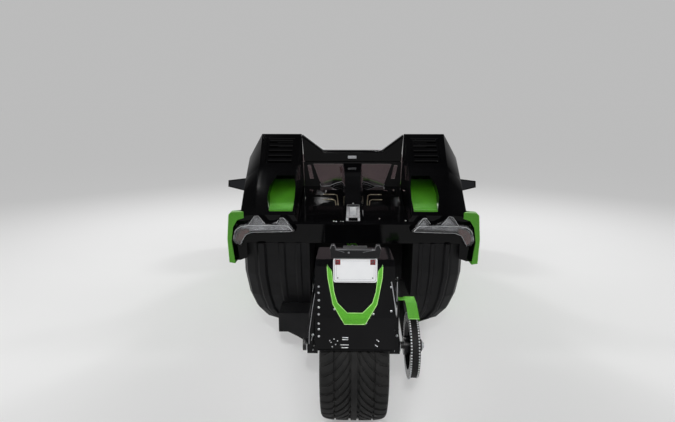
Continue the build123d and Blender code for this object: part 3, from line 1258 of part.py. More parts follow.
def make_belt_guard():
    sections = []
    for y, z, offset in GUARD_LINE:
        low, high = PULLEY_X + offset, PULLEY_X + offset + GUARD_WIDTH
        inside, foot, under = high - GUARD_WALL, z - GUARD_SKIRT, z - GUARD_WALL
        skirt = [(high, foot), (inside, foot), (inside, under)]
        sections.append(at("Y", y, [(low, under), (low, z), (high, z)] + skirt))
    guard = lofted(sections)
    y, z, offset = GUARD_LINE[-1]
    tab_x = (ARM_OUTER_X + SEAT_GAP, PULLEY_X + offset + 8)
    tab = block(tab_x, (y - 34, y), (z - GUARD_TAB, z - GUARD_WALL))
    keep("belt_guard", one(guard + tab))


def make_exhaust():
    """From the engine's right side down and back below the floor's edge."""
    y = FIREWALL_Y + 34
    edge = TUB_HALF_WIDTH
    route = [(ENGINE_HALF_WIDTH + SEAT_GAP, y, 330), (edge - 210, y, 330), (edge - 80, y, 190)]
    route += [(edge - 42, y - 134, 175), (edge - 34, y - 224, 175)]
    bore = rod(route[3], (edge - 32, y - 244, 175), PIPE_BORE_RADIUS)
    keep("exhaust", pipe(route, PIPE_RADIUS) - bore)


# Steering wheel and column
GRIP_RADIUS = 14.0
STUB_RADIUS = 10.0
SLEEVE_RADIUS = 26.0
SPOKE_ANGLES = (-8, 188, 270)


def make_steering():
    tilt = radians(COLUMN_TILT)
    back = Vector(0, -cos(tilt), sin(tilt))
    centre = Vector(STEER_WHEEL_X, STEER_WHEEL_Y, STEER_WHEEL_Z)
    plane = Plane(origin=centre, x_dir=(1, 0, 0), z_dir=back)
    reach = STEER_WHEEL_RADIUS - GRIP_RADIUS
    wheel = Solid.make_torus(reach, GRIP_RADIUS, plane)
    wheel = wheel + Solid.make_cylinder(44, 40, Plane(origin=centre - back * 30, x_dir=(1, 0, 0), z_dir=back))
    for angle in SPOKE_ANGLES:
        spoke = Solid.make_box(reach - 30, 34, 10, Plane(origin=(30, -17, -6)))
        wheel = wheel + plane.from_local_coords(spoke.rotate(Axis.Z, angle))
    stub = Solid.make_cylinder(STUB_RADIUS, 70, Plane(origin=centre - back * 95, z_dir=back))
    keep("steering_wheel", one(wheel + stub))
    sleeve_start = Plane(origin=centre - back * (30 + MOVING_GAP), z_dir=-back)
    sleeve = Solid.make_cylinder(SLEEVE_RADIUS, 340, sleeve_start)
    bore = Solid.make_cylinder(STUB_RADIUS + PIN_GAP, 70, sleeve_start)
    dash = prism("X", -DASH_HALF_WIDTH, DASH_HALF_WIDTH, dash_outline(SEAT_GAP))
    column = (sleeve - bore) - dash
    parts["dashboard"].append(column.solids().sort_by(Axis.Y)[0])


def export_all():
    for name, solids in parts.items():
        shape = solids[0] if len(solids) == 1 else Compound(solids)
        export_step(shape, f"parts/{name}.step")


make_tub()
make_hood()
make_firewall()
make_fascia()
make_grille()
make_splitter()
make_headlamps()
make_bulkhead()
make_rear_tubs()
make_tail_deck()
make_cowls()
make_crossbar()
make_windows()
make_tail_lamps()
make_quarter_panels()
make_side_panels()
make_windscreen()
make_dashboard()
make_seats()
make_mirrors()
make_space_frame()
make_engine()
make_radiator()
make_control_arms()
make_dampers()
make_tie_rods()
make_knuckle()
make_front_fender()
make_front_wheels()
make_rear_wheel()
make_pulley()
make_belt()
make_swingarm()
make_rear_fender()
make_belt_guard()
make_exhaust()
make_steering()
export_all()
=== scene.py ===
import json
import math

import bmesh
import bpy
from mathutils import Matrix, Vector


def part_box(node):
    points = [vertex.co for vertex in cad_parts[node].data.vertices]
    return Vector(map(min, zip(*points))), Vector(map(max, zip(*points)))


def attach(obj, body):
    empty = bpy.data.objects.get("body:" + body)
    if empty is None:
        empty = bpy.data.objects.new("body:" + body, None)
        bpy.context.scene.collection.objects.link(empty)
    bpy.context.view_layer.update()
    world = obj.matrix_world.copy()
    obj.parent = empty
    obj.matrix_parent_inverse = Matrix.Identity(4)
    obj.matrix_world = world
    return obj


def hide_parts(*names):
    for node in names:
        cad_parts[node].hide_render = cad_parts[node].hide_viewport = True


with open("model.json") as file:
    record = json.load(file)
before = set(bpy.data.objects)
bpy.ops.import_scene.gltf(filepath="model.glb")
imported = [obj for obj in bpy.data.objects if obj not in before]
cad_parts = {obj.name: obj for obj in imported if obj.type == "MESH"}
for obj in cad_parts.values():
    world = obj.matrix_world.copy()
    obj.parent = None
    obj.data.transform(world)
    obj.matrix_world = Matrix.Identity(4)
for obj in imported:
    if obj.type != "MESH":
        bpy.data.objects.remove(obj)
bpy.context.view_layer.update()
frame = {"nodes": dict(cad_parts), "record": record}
nodes = frame["nodes"]

# Metres, unless a comment says mm. +X is the vehicle's right, +Y forward, +Z up.
SIDES = ((1, "right"), (-1, "left"))

# Camera, solved from the photograph: behind the vehicle, above head height of a seated driver
CAMERA_PLACE = (-0.035, -3.75, 1.50)
CAMERA_DOWN = 12.2
CAMERA_LEFT = 1.15
SENSOR_WIDTH = 36.0
PHOTO_WIDTH = 675
FOCAL_PIXELS = 480.0


# Materials

def set_inputs(node, values):
    for name, value in values.items():
        node.inputs[name.replace("_", " ")].default_value = value


def new_material(name, colour, rough, metallic=0.0, **sockets):
    """A Principled material whose plain values sit on the shader's own sockets."""
    mat = bpy.data.materials.new(name)
    mat.use_nodes = True
    plain = {"Base Color": (*colour, 1.0), "Roughness": rough, "Metallic": metallic}
    set_inputs(mat.node_tree.nodes["Principled BSDF"], {**plain, **sockets})
    return mat


def add(mat, kind, **values):
    """A node of the material's tree with some of its inputs set."""
    node = mat.node_tree.nodes.new(kind)
    set_inputs(node, values)
    return node


def link(mat, start, end):
    mat.node_tree.links.new(start, end)


def to_shader(mat, output, socket):
    link(mat, output, mat.node_tree.nodes["Principled BSDF"].inputs[socket])


def place(mat, stretch=(1.0, 1.0, 1.0)):
    """Object coordinates, stretched along the axes."""
    mapping = add(mat, "ShaderNodeMapping", Scale=stretch)
    link(mat, add(mat, "ShaderNodeTexCoord").outputs["Object"], mapping.inputs["Vector"])
    return mapping.outputs["Vector"]


def noise(mat, scale, detail=3.0, stretch=(1.0, 1.0, 1.0)):
    texture = add(mat, "ShaderNodeTexNoise", Scale=scale, Detail=detail)
    link(mat, place(mat, stretch), texture.inputs["Vector"])
    return texture.outputs["Fac"]


def cells(mat, scale, output="Distance", stretch=(1.0, 1.0, 1.0)):
    texture = add(mat, "ShaderNodeTexVoronoi", Scale=scale)
    link(mat, place(mat, stretch), texture.inputs["Vector"])
    return texture.outputs[output]


def tint(mat, factor, low, high, start=0.0, end=1.0):
    """The material's colour, between two, as a factor goes from start to end."""
    node = add(mat, "ShaderNodeValToRGB")
    first, last = node.color_ramp.elements
    first.position = start
    last.position = end
    first.color = (*low, 1.0)
    last.color = (*high, 1.0)
    link(mat, factor, node.inputs["Fac"])
    to_shader(mat, node.outputs["Color"], "Base Color")


def roughen(mat, factor, low, high, start=0.0, end=1.0):
    """The material's roughness, between two values, as a factor goes from start to end."""
    node = add(mat, "ShaderNodeMapRange", From_Min=start, From_Max=end, To_Min=low, To_Max=high)
    link(mat, factor, node.inputs["Value"])
    to_shader(mat, node.outputs["Result"], "Roughness")


def bump(mat, height, strength, distance):
    node = add(mat, "ShaderNodeBump", Strength=strength, Distance=distance)
    link(mat, height, node.inputs["Height"])
    to_shader(mat, node.outputs["Normal"], "Normal")


def gloss_black():
    """Deep gloss paint with faint dust and fine orange peel."""
    mat = new_material("gloss_black", (0.003, 0.003, 0.0035), 0.08, Specular_IOR_Level=0.17)
    tint(mat, noise(mat, 5.0, 6.0), (0.0018, 0.0018, 0.0022), (0.0048, 0.0048, 0.0055), 0.35, 0.8)
    roughen(mat, noise(mat, 9.0, 4.0), 0.045, 0.085, 0.3, 0.75)
    bump(mat, noise(mat, 420.0, 2.0), 0.05, 0.0006)
    return mat


def lime_green():
    """Metallic paint: fine flakes under a clear coat."""
    mat = new_material("lime_green", (0.09, 0.44, 0.02), 0.30, 0.35, Coat_Weight=0.35, Coat_Roughness=0.05)
    flake = cells(mat, 900.0, "Color")
    tint(mat, flake, (0.048, 0.27, 0.008), (0.135, 0.56, 0.020), 0.1, 0.9)
    roughen(mat, noise(mat, 700.0, 2.0), 0.24, 0.38)
    bump(mat, flake, 0.06, 0.0004)
    return mat


def charcoal_plastic():
    """Grained moulded plastic with a faint scuffed bloom."""
    mat = new_material("charcoal_plastic", (0.009, 0.009, 0.010), 0.50, Specular_IOR_Level=0.22)
    tint(mat, noise(mat, 7.0, 6.0), (0.005, 0.005, 0.0057), (0.013, 0.013, 0.014), 0.3, 0.8)
    roughen(mat, noise(mat, 30.0, 4.0), 0.42, 0.60)
    bump(mat, cells(mat, 520.0), 0.35, 0.0004)
    return mat


def black_steel():
    """Powder-coated steel."""
    mat = new_material("black_steel", (0.009, 0.009, 0.010), 0.38, Specular_IOR_Level=0.40)
    tint(mat, noise(mat, 14.0, 5.0), (0.005, 0.005, 0.006), (0.014, 0.014, 0.015), 0.3, 0.8)
    roughen(mat, noise(mat, 60.0, 3.0), 0.30, 0.46)
    bump(mat, noise(mat, 900.0, 2.0), 0.18, 0.0003)
    return mat


def clear_lamp():
    mat = new_material("clear_lamp", (0.93, 0.94, 0.95), 0.05, Transmission_Weight=1.0, IOR=1.49)
    bump(mat, cells(mat, 120.0, stretch=(1.0, 1.0, 2.4)), 0.12, 0.0015)
    roughen(mat, noise(mat, 40.0, 3.0), 0.03, 0.10)
    return mat


def lamp_reflector():
    """Fluted plating behind the lens."""
    mat = new_material("lamp_reflector", (0.30, 0.30, 0.31), 0.25, 1.0)
    flutes = add(mat, "ShaderNodeTexWave", Scale=38.0, Distortion=0.6)
    link(mat, place(mat, (1.0, 1.0, 0.30)), flutes.inputs["Vector"])
    bump(mat, flutes.outputs["Fac"], 0.6, 0.004)
    tint(mat, noise(mat, 26.0, 4.0), (0.28, 0.28, 0.29), (0.66, 0.66, 0.68), 0.3, 0.7)
    return mat


def light_guide():
    """Pale frosted strip that edges the lamps; also the colour of painted highlights on the fender and the
    belt's teeth.
    """
    mat = new_material("light_guide", (0.82, 0.84, 0.86), 0.25)
    tint(mat, noise(mat, 35.0, 3.0), (0.62, 0.64, 0.67), (0.90, 0.91, 0.92), 0.3, 0.7)
    return mat


def reflex_red():
    """Dark ruby reflex behind clear plastic."""
    mat = new_material("reflex_red", (0.12, 0.03, 0.025), 0.25, Coat_Weight=0.5, Coat_Roughness=0.05)
    bump(mat, cells(mat, 230.0), 0.5, 0.002)
    tint(mat, noise(mat, 22.0, 3.0), (0.035, 0.020, 0.018), (0.20, 0.065, 0.050), 0.35, 0.7)
    return mat


def tab_red():
    """Dark red plate tabs with a worn dark pattern."""
    mat = new_material("tab_red", (0.16, 0.012, 0.016), 0.35)
    tint(mat, cells(mat, 150.0), (0.035, 0.006, 0.008), (0.24, 0.018, 0.024), 0.2, 0.6)
    return mat


def tinted_glass():
    mat = new_material("tinted_glass", (0.26, 0.20, 0.215), 0.02, Transmission_Weight=1.0, IOR=1.45)
    tint(mat, noise(mat, 3.0, 2.0), (0.24, 0.18, 0.195), (0.30, 0.24, 0.25))
    roughen(mat, noise(mat, 30.0, 3.0), 0.01, 0.04)
    return mat


def vinyl_black():
    """Grained seat vinyl."""
    mat = new_material("vinyl_black", (0.020, 0.020, 0.021), 0.50, Sheen_Weight=0.12, Sheen_Roughness=0.4)
    grain = cells(mat, 330.0)
    tint(mat, noise(mat, 9.0, 5.0), (0.012, 0.012, 0.013), (0.030, 0.030, 0.031), 0.3, 0.8)
    roughen(mat, grain, 0.44, 0.60)
    bump(mat, grain, 0.55, 0.0008)
    return mat


def aluminium():
    mat = new_material("aluminium", (0.60, 0.61, 0.63), 0.32, 1.0)
    tint(mat, noise(mat, 24.0, 5.0), (0.45, 0.46, 0.48), (0.66, 0.67, 0.69))
    roughen(mat, noise(mat, 110.0, 3.0), 0.26, 0.44)
    bump(mat, noise(mat, 500.0, 2.0), 0.08, 0.0003)
    return mat


def sprocket_metal():
    """Dark hard-coated aluminium, dulled by belt dust."""
    mat = new_material("sprocket_metal", (0.05, 0.05, 0.052), 0.50, 0.6)
    tint(mat, noise(mat, 40.0, 5.0), (0.025, 0.025, 0.027), (0.075, 0.075, 0.078))
    roughen(mat, noise(mat, 120.0, 3.0), 0.42, 0.60)
    return mat


def engine_metal():
    """Sand-cast metal, its tone varying at random."""
    mat = new_material("engine_metal", (0.22, 0.22, 0.23), 0.55, 0.8)
    tint(mat, noise(mat, 20.0, 6.0), (0.10, 0.10, 0.105), (0.30, 0.30, 0.31))
    roughen(mat, noise(mat, 60.0, 4.0), 0.46, 0.68)
    bump(mat, noise(mat, 260.0, 5.0), 0.4, 0.0012)
    return mat


def exhaust_steel():
    """Brushed steel with a straw tint from heat."""
    mat = new_material("exhaust_steel", (0.46, 0.42, 0.37), 0.30, 1.0)
    tint(mat, noise(mat, 6.0, 4.0), (0.36, 0.31, 0.27), (0.56, 0.53, 0.49))
    roughen(mat, noise(mat, 160.0, 3.0, (1.0, 0.1, 1.0)), 0.22, 0.44)
    return mat


def rim_black():
    mat = new_material("rim_black", (0.008, 0.008, 0.009), 0.20, Specular_IOR_Level=0.40)
    tint(mat, noise(mat, 30.0, 5.0), (0.005, 0.005, 0.006), (0.014, 0.014, 0.015), 0.3, 0.8)
    roughen(mat, noise(mat, 18.0, 4.0), 0.15, 0.28)
    return mat


def tyre_rubber():
    mat = new_material("tyre_rubber", (0.013, 0.013, 0.013), 0.74, Specular_IOR_Level=0.30)
    tint(mat, noise(mat, 16.0, 6.0), (0.008, 0.008, 0.008), (0.021, 0.0205, 0.020), 0.3, 0.8)
    roughen(mat, noise(mat, 40.0, 4.0), 0.62, 0.86)
    bump(mat, noise(mat, 800.0, 3.0), 0.25, 0.0004)
    return mat


def disc_steel():
    mat = new_material("disc_steel", (0.50, 0.50, 0.51), 0.28, 1.0)
    tint(mat, noise(mat, 80.0, 3.0), (0.36, 0.36, 0.37), (0.58, 0.58, 0.59))
    roughen(mat, noise(mat, 300.0, 2.0), 0.20, 0.38)
    return mat


def belt_rubber():
    mat = new_material("belt_rubber", (0.009, 0.009, 0.009), 0.62, Specular_IOR_Level=0.30)
    tint(mat, noise(mat, 90.0, 3.0), (0.005, 0.005, 0.005), (0.014, 0.014, 0.014))
    bump(mat, noise(mat, 600.0, 2.0), 0.3, 0.0004)
    return mat


def plate_white():
    mat = new_material("plate_white", (0.86, 0.87, 0.88), 0.30, Coat_Weight=0.3, Coat_Roughness=0.10)
    tint(mat, noise(mat, 30.0, 4.0), (0.82, 0.83, 0.85), (0.89, 0.90, 0.91))
    bump(mat, noise(mat, 300.0, 2.0), 0.05, 0.0005)
    return mat


MATERIALS = {
    "gloss_black": gloss_black(),
    "lime_green": lime_green(),
    "charcoal_plastic": charcoal_plastic(),
    "black_steel": black_steel(),
    "clear_lamp": clear_lamp(),
    "tinted_glass": tinted_glass(),
    "vinyl_black": vinyl_black(),
    "mirror_black": gloss_black(),
    "aluminium": aluminium(),
    "engine_metal": engine_metal(),
    "exhaust_steel": exhaust_steel(),
    "rim_black": rim_black(),
    "tyre": tyre_rubber(),
    "disc_steel": disc_steel(),
    "belt_rubber": belt_rubber(),
    "plate_white": plate_white(),
    "lamp_reflector": lamp_reflector(),
    "reflex_red": reflex_red(),
    "light_guide": light_guide(),
    "tab_red": tab_red(),
    "sprocket_metal": sprocket_metal(),
}
# columns: name, colour, roughness, metallic, scale and strength of its fine relief
PLAIN = [
    ("plate_line", (0.07, 0.07, 0.075), 0.4, 0.0, 300.0, 0.05),
    ("belt_webbing", (0.014, 0.014, 0.015), 0.7, 0.0, 500.0, 0.5),
    ("dial_face", (0.05, 0.05, 0.055), 0.25, 0.0, 200.0, 0.05),
    ("mirror_glass", (0.030, 0.031, 0.034), 0.06, 1.0, 60.0, 0.01),
    # the next three are painted highlights: bronze on the deck's brackets, pale green on the trims and
    # flares, grey on the plate bracket
    ("bronze", (0.50, 0.43, 0.31), 0.35, 0.6, 200.0, 0.08),
    ("edge_green", (0.46, 0.86, 0.26), 0.30, 0.0, 300.0, 0.05),
    ("bracket_grey", (0.20, 0.20, 0.21), 0.35, 0.0, 300.0, 0.05),
]
for name, colour, rough, metallic, scale, strength in PLAIN:
    MATERIALS[name] = new_material(name, colour, rough, metallic)
    bump(MATERIALS[name], noise(MATERIALS[name], scale), strength, 0.0003)


# Carried-over nodes: finish from their slot, and edges rounded as pressed or moulded ones are

# radius of each node's rounded edges in mm
ROUNDED = {
    "rear_cowls": 4.0, "tail_deck": 5.0, "roll_bar": 5.0, "swingarm": 3.0, "rear_fender": 3.0, "hood": 2.0,
    "quarter_panels": 2.0, "side_panels": 2.0, "rear_tubs": 5.0, "front_fascia": 2.0, "plate_bracket": 2.0,
    "fender_trim": 1.6, "accent_panels": 1.6, "belt_guard": 1.6, "cowl_louvres": 2.0, "engine": 8.0,
    "dashboard": 6.0, "mirrors": 5.0, "splitter": 3.0, "grille": 1.0, "rear_bulkhead": 1.5,
}
WELD_DISTANCE = 0.00002
FLAT_ANGLE = 0.4
CREASE_ANGLE = 24.0


def round_edges(obj, width_mm):
    """Welds the tessellation, merges its flat faces and rounds the creases between them."""
    weld = obj.modifiers.new("weld", "WELD")
    weld.merge_threshold = WELD_DISTANCE
    flat = obj.modifiers.new("flat", "DECIMATE")
    flat.decimate_type = "DISSOLVE"
    flat.angle_limit = math.radians(FLAT_ANGLE)
    bevel = obj.modifiers.new("bevel", "BEVEL")
    bevel.width = width_mm / 1000
    bevel.segments = 2
    bevel.limit_method = "ANGLE"
    bevel.angle_limit = math.radians(CREASE_ANGLE)
    bevel.harden_normals = True
    bevel.use_clamp_overlap = True


slot_of = {row["node"]: row["material_slot"] for row in frame["record"]["subparts"]}
for name, obj in nodes.items():
    # the sprocket is darker than its slot's other parts
    finish = "sprocket_metal" if name == "belt_sprocket" else slot_of[name]
    obj.data.materials.clear()
    obj.data.materials.append(MATERIALS[finish])
    if name in ROUNDED:
        round_edges(obj, ROUNDED[name])


# Helpers for the added pieces

def add_piece(name, bm, finish, body="root", replaces=(), sharp_angle=32.0):
    """An object of a bmesh, smooth but for its sharp edges; its slot is its finish's."""
    bmesh.ops.recalc_face_normals(bm, faces=bm.faces)
    limit = math.radians(sharp_angle)
    for face in bm.faces:
        face.smooth = True
    for edge in bm.edges:
        edge.smooth = len(edge.link_faces) == 2 and edge.calc_face_angle(0.0) < limit
    mesh = bpy.data.meshes.new(name)
    bm.to_mesh(mesh)
    bm.free()
    mesh.materials.append(MATERIALS[finish])
    obj = bpy.data.objects.new(name, mesh)
    bpy.context.scene.collection.objects.link(obj)
    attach(obj, body)
    if replaces:
        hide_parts(*replaces)
    return obj


def read_off(rows, at):
    """The height of a line of (place, height) points at a place."""
    for (a, low), (b, high) in zip(rows, rows[1:]):
        if at <= b:
            return low + (high - low) * (at - a) / (b - a)
    return rows[-1][1]


def across(line, y, side=1):
    """Points of an (x, z) line in mm at a station y, on the right or mirrored to the left."""
    return [(side * x / 1000, y, z / 1000) for x, z in line]


def around(axle, radius, count, turn=0.0):
    """Places (y, z) evenly round an axle; turn shifts them by a share of their spacing."""
    angles = [2 * math.pi * (i + turn) / count for i in range(count)]
    return [(axle.y + radius * math.cos(a), axle.z + radius * math.sin(a)) for a in angles]


def new_ring(bm, points):
    return [bm.verts.new(p) for p in points]


def join_rings(bm, a, b):
    for i in range(len(a)):
        n = (i + 1) % len(a)
        bm.faces.new((a[i], a[n], b[n], b[i]))


def add_slab(bm, low, high):
    """A plate between two loops of corners."""
    low, high = new_ring(bm, low), new_ring(bm, high)
    bm.faces.new(low)
    bm.faces.new(list(reversed(high)))
    for i in range(len(low)):
        n = (i + 1) % len(low)
        bm.faces.new((low[n], low[i], high[i], high[n]))


def add_sheet(bm, outline, y_from, y_to, side=1):
    """A plate of an (x, z) outline in mm between two stations."""
    add_slab(bm, across(outline, y_from, side), across(outline, y_to, side))


def add_box(bm, low, high, bevel=0.0):
    """A box between two corners, its edges rounded if asked."""
    corners = [(x, y, z) for x in (low[0], high[0]) for y in (low[1], high[1]) for z in (low[2], high[2])]
    made = new_ring(bm, corners)
    sides = [(0, 1, 3, 2), (4, 6, 7, 5), (0, 4, 5, 1), (2, 3, 7, 6), (0, 2, 6, 4), (1, 5, 7, 3)]
    faces = [bm.faces.new([made[i] for i in side]) for side in sides]
    if bevel > 0:
        round_off(bm, faces, bevel)


def round_off(bm, faces, bevel):
    """Rounds the edges of some faces."""
    edges = list({edge for face in faces for edge in face.edges})
    bmesh.ops.bevel(bm, geom=edges, offset=bevel, segments=2, affect="EDGES", clamp_overlap=True)


def add_rod(bm, start, end, radius, sides=20, end_radius=None, bevel=0.0):
    """A round bar, or a cone, between two points."""
    start, end = Vector(start), Vector(end)
    way = end - start
    turn = way.to_track_quat("Z", "Y").to_matrix().to_4x4()
    middle = Matrix.Translation((start + end) / 2) @ turn
    high = radius if end_radius is None else end_radius
    made = bmesh.ops.create_cone(bm, cap_ends=True, segments=sides, radius1=radius, radius2=high,
                                 depth=way.length, matrix=middle)
    if bevel > 0:
        faces = {face for vert in made["verts"] for face in vert.link_faces}
        round_off(bm, [face for face in faces if len(face.verts) > 4], bevel)


def add_ball(bm, centre, radius, flat=1.0, way=(0, 0, 1)):
    """A ball, flattened along a direction."""
    turn = Vector(way).to_track_quat("Z", "Y").to_matrix().to_4x4()
    matrix = Matrix.Translation(centre) @ turn @ Matrix.Diagonal((1, 1, flat, 1))
    bmesh.ops.create_uvsphere(bm, u_segments=12, v_segments=8, radius=radius, matrix=matrix)


def add_tube(bm, points, radius, sides=10, closed=False):
    """A round tube that follows a line of points."""
    points = [Vector(p) for p in points]
    count = len(points)
    rings = []
    side = None
    for i, point in enumerate(points):
        before = points[i - 1] if i or closed else point
        after = points[(i + 1) % count] if i + 1 < count or closed else point
        way = (after - before).normalized()
        if side is None:
            side = way.orthogonal().normalized()
        side = (side - way * side.dot(way)).normalized()
        up = way.cross(side)
        angles = [2 * math.pi * k / sides for k in range(sides)]
        ring = [point + side * (radius * math.cos(a)) + up * (radius * math.sin(a)) for a in angles]
        rings.append(new_ring(bm, ring))
    for a, b in list(zip(rings, rings[1:])) + ([(rings[-1], rings[0])] if closed else []):
        join_rings(bm, a, b)
    if not closed:
        bm.faces.new(list(reversed(rings[0])))
        bm.faces.new(rings[-1])


def rounded_outline(half_u, half_v, radius, steps=5):
    """A rectangle with rounded corners, about (0, 0)."""
    points = []
    for cu, cv, start in ((1, 1, 0), (-1, 1, 90), (-1, -1, 180), (1, -1, 270)):
        for i in range(steps + 1):
            angle = math.radians(start + 90 * i / steps)
            points.append((cu * (half_u - radius) + radius * math.cos(angle),
                           cv * (half_v - radius) + radius * math.sin(angle)))
    return points


def helix(start, end, radius, turns, per_turn=14):
    """Points of a coil spring between two points."""
    way = (end - start).normalized()
    side = way.orthogonal().normalized()
    up = way.cross(side)
    count = int(turns * per_turn)
    points = []
    for i in range(count + 1):
        angle = 2 * math.pi * i / per_turn
        along = (end - start) * (i / count)
        points.append(start + along + side * (radius * math.cos(angle)) + up * (radius * math.sin(angle)))
    return points


# Tyres with a cut directional tread

REAR_AXLE = Vector((0.0, -1.5545, 0.3455))
FRONT_AXLE = Vector((0.868, 1.1125, 0.33))
# columns: radius, width, rim radius, number of tread pitches
REAR_TYRE = (0.3455, 0.305, 0.254, 44)
FRONT_TYRE = (0.33, 0.225, 0.2286, 40)
# columns: share of half width, depth below the middle of the tread in mm
TREAD_DROP = [
    (0.0, 0.0), (0.30, 0.4), (0.60, 1.6), (0.75, 3.8), (0.85, 7.0), (0.92, 11.5), (0.97, 18.0),
    (0.995, 27.0), (1.0, 36.0),
]
# columns: share of half width, depth of the ring groove there in mm
TREAD_COLUMNS = [
    (0.0, 0), (0.085, 0), (0.095, 7), (0.150, 7), (0.160, 0), (0.22, 0), (0.29, 0), (0.37, 0), (0.46, 0),
    (0.535, 0), (0.545, 7), (0.590, 7), (0.600, 0), (0.66, 0), (0.73, 0), (0.80, 0), (0.86, 0), (0.91, 0),
    (0.95, 0), (0.985, 0),
]
# columns: share of one pitch, cross groove cut there
PITCH_ROWS = [(0.0, 0), (0.30, 0), (0.62, 0), (0.66, 1), (0.93, 1), (0.97, 0)]
GROOVE_DEPTH = 0.0075
# how far round the tyre the cross grooves lean, from its middle to the shoulder, in radians
SWEEP = 0.46


def tread_profile(half, radius, rim_radius):
    """Half cross-section from the tread's middle to the bead: (offset, radius, cut share, sweep share)."""
    rows = []
    for share, ring in TREAD_COLUMNS:
        cut = 0.0 if share < 0.09 else 1.0 if share < 0.95 else 0.55
        rows.append((share * half, radius - (read_off(TREAD_DROP, share) + ring) / 1000, cut, share))
    # columns: share of half width, radius, cut share
    wall = [
        (1.0, radius - 0.036, 0.25), (1.004, radius - 0.046, 0.0), (1.0, radius - 0.050, 0.0),
        (1.0, rim_radius + 0.044, 0.0), (0.996, rim_radius + 0.041, 0.0), (0.985, rim_radius + 0.028, 0.0),
    ]
    rows += [(share * half, r, cut, 1.0) for share, r, cut in wall]
    bead = [(half - 0.0125, rim_radius + 0.0115, 0.0, 1.0), (half - 0.0135, rim_radius - 0.001, 0.0, 1.0)]
    return rows + bead


def make_tyre(name, node, body, centre, radius, width, rim_radius, pitches):
    half_rows = tread_profile(width / 2, radius, rim_radius)
    columns = [(-u, r, cut, s) for u, r, cut, s in reversed(half_rows[1:])] + half_rows
    grid = []
    bm = bmesh.new()
    for turn, dip in [(p + share, dip) for p in range(pitches) for share, dip in PITCH_ROWS]:
        line = []
        for u, r, cut, s in columns:
            angle = 2 * math.pi * turn / pitches - SWEEP * (1 - (1 - min(s, 1.0)) ** 2)
            level = r - dip * cut * GROOVE_DEPTH
            y, z = centre[1] - level * math.cos(angle), centre[2] + level * math.sin(angle)
            line.append((centre[0] + u, y, z))
        grid.append(new_ring(bm, line))
    for a, b in zip(grid, grid[1:] + grid[:1]):
        join_rings(bm, a, b)
    add_piece(name, bm, "tyre", body=body, replaces=(node,), sharp_angle=34.0)


def make_tyres():
    make_tyre("rear_tyre_tread", "rear_tyre", "wheel_rear", REAR_AXLE, *REAR_TYRE)
    for side, word in SIDES:
        centre = (side * FRONT_AXLE.x, FRONT_AXLE.y, FRONT_AXLE.z)
        node = "front_tyre_" + word
        make_tyre("front_tyre_tread_" + word, node, "wheel_front_" + word, centre, *FRONT_TYRE)


# Tail lamps: dark case, faceted reflector, red reflex and a thin clear lens

TAIL_Y = -1.100
LAMP_FRONT_Y = TAIL_Y - 0.034
# right-hand lamp's outline in mm as x and z, from the hook's foot round by the top
LAMP_OUTLINE = [
    (686, 760), (667, 736), (634, 729), (623, 753), (602, 791), (575, 801), (339, 809), (323, 816),
    (367, 879), (390, 899), (412, 899), (430, 856), (488, 859), (532, 912), (557, 908), (589, 861),
    (635, 855), (669, 828),
]
# reflex inside the lamp's hook, x and z in mm
REFLEX_OUTLINE = [
    (668, 768), (657, 746), (641, 742), (626, 766), (609, 796), (588, 812), (592, 830), (630, 828),
    (655, 808),
]
# light strips: radius, then x and z in mm along the lamp's top edge, its points and its foot
LIGHT_LINES = [
    (1.8, [(676, 770), (675, 800), (660, 824), (636, 840), (588, 848), (430, 849), (370, 846), (342, 818)]),
    (1.3, [(590, 852), (556, 901), (534, 904), (498, 860)]),
    (1.3, [(432, 862), (411, 892), (391, 892), (366, 858)]),
    (0.9, [(345, 814), (572, 808), (608, 794), (630, 758), (640, 738)]),
]
# how far the reflector's rim, its low and high facet corners, and the reflex lie behind the tail's face
REFLECTOR_RIM = 0.016
FACET_DEPTHS = (0.021, 0.028)
REFLEX_DEPTHS = (0.0292, 0.0240)


def inset_outline(points, distance):
    """A closed outline moved inward by a distance."""
    area = sum(a[0] * b[1] - b[0] * a[1] for a, b in zip(points, points[1:] + points[:1]))
    sign = 1 if area > 0 else -1
    moved = []
    for i, point in enumerate(points):
        before, after = Vector(points[i - 1]), Vector(points[(i + 1) % len(points)])
        here = Vector(point)
        a, b = (here - before).normalized(), (after - here).normalized()
        total = Vector((-a.y, a.x)) * sign + Vector((-b.y, b.x)) * sign
        scale = 2 / max(total.length_squared, 0.8)
        moved.append(tuple(here + total * (distance * scale)))
    return moved


def make_lamp_case(side, word):
    """A rim round the lens and a back behind the reflector."""
    inner = inset_outline(LAMP_OUTLINE, 3.0)
    stages = [
        (LAMP_OUTLINE, TAIL_Y - 0.001), (LAMP_OUTLINE, LAMP_FRONT_Y), (inner, LAMP_FRONT_Y),
        (inner, TAIL_Y - 0.012),
    ]
    bm = bmesh.new()
    rings = [new_ring(bm, across(outline, depth, side)) for outline, depth in stages]
    for a, b in zip(rings, rings[1:]):
        join_rings(bm, a, b)
    bm.faces.new(list(reversed(rings[-1])))
    bm.faces.new(rings[0])
    replaced = ("tail_lamps",) if side > 0 else ()
    add_piece("tail_lamp_case_" + word, bm, "gloss_black", replaces=replaced)


def make_lamp_reflector(side, word):
    """Facets from the rim to a raised broken ridge."""
    bm = bmesh.new()
    outer = new_ring(bm, across(inset_outline(LAMP_OUTLINE, 4.0), TAIL_Y - REFLECTOR_RIM, side))
    ridge = []
    for i, corner in enumerate(inset_outline(LAMP_OUTLINE, 17.0)):
        ridge += across([corner], TAIL_Y - FACET_DEPTHS[i % 2], side)
    crest = new_ring(bm, ridge)
    join_rings(bm, outer, crest)
    bm.faces.new(crest)
    bmesh.ops.triangulate(bm, faces=bm.faces)
    add_piece("tail_lamp_reflector_" + word, bm, "lamp_reflector", sharp_angle=4.0)


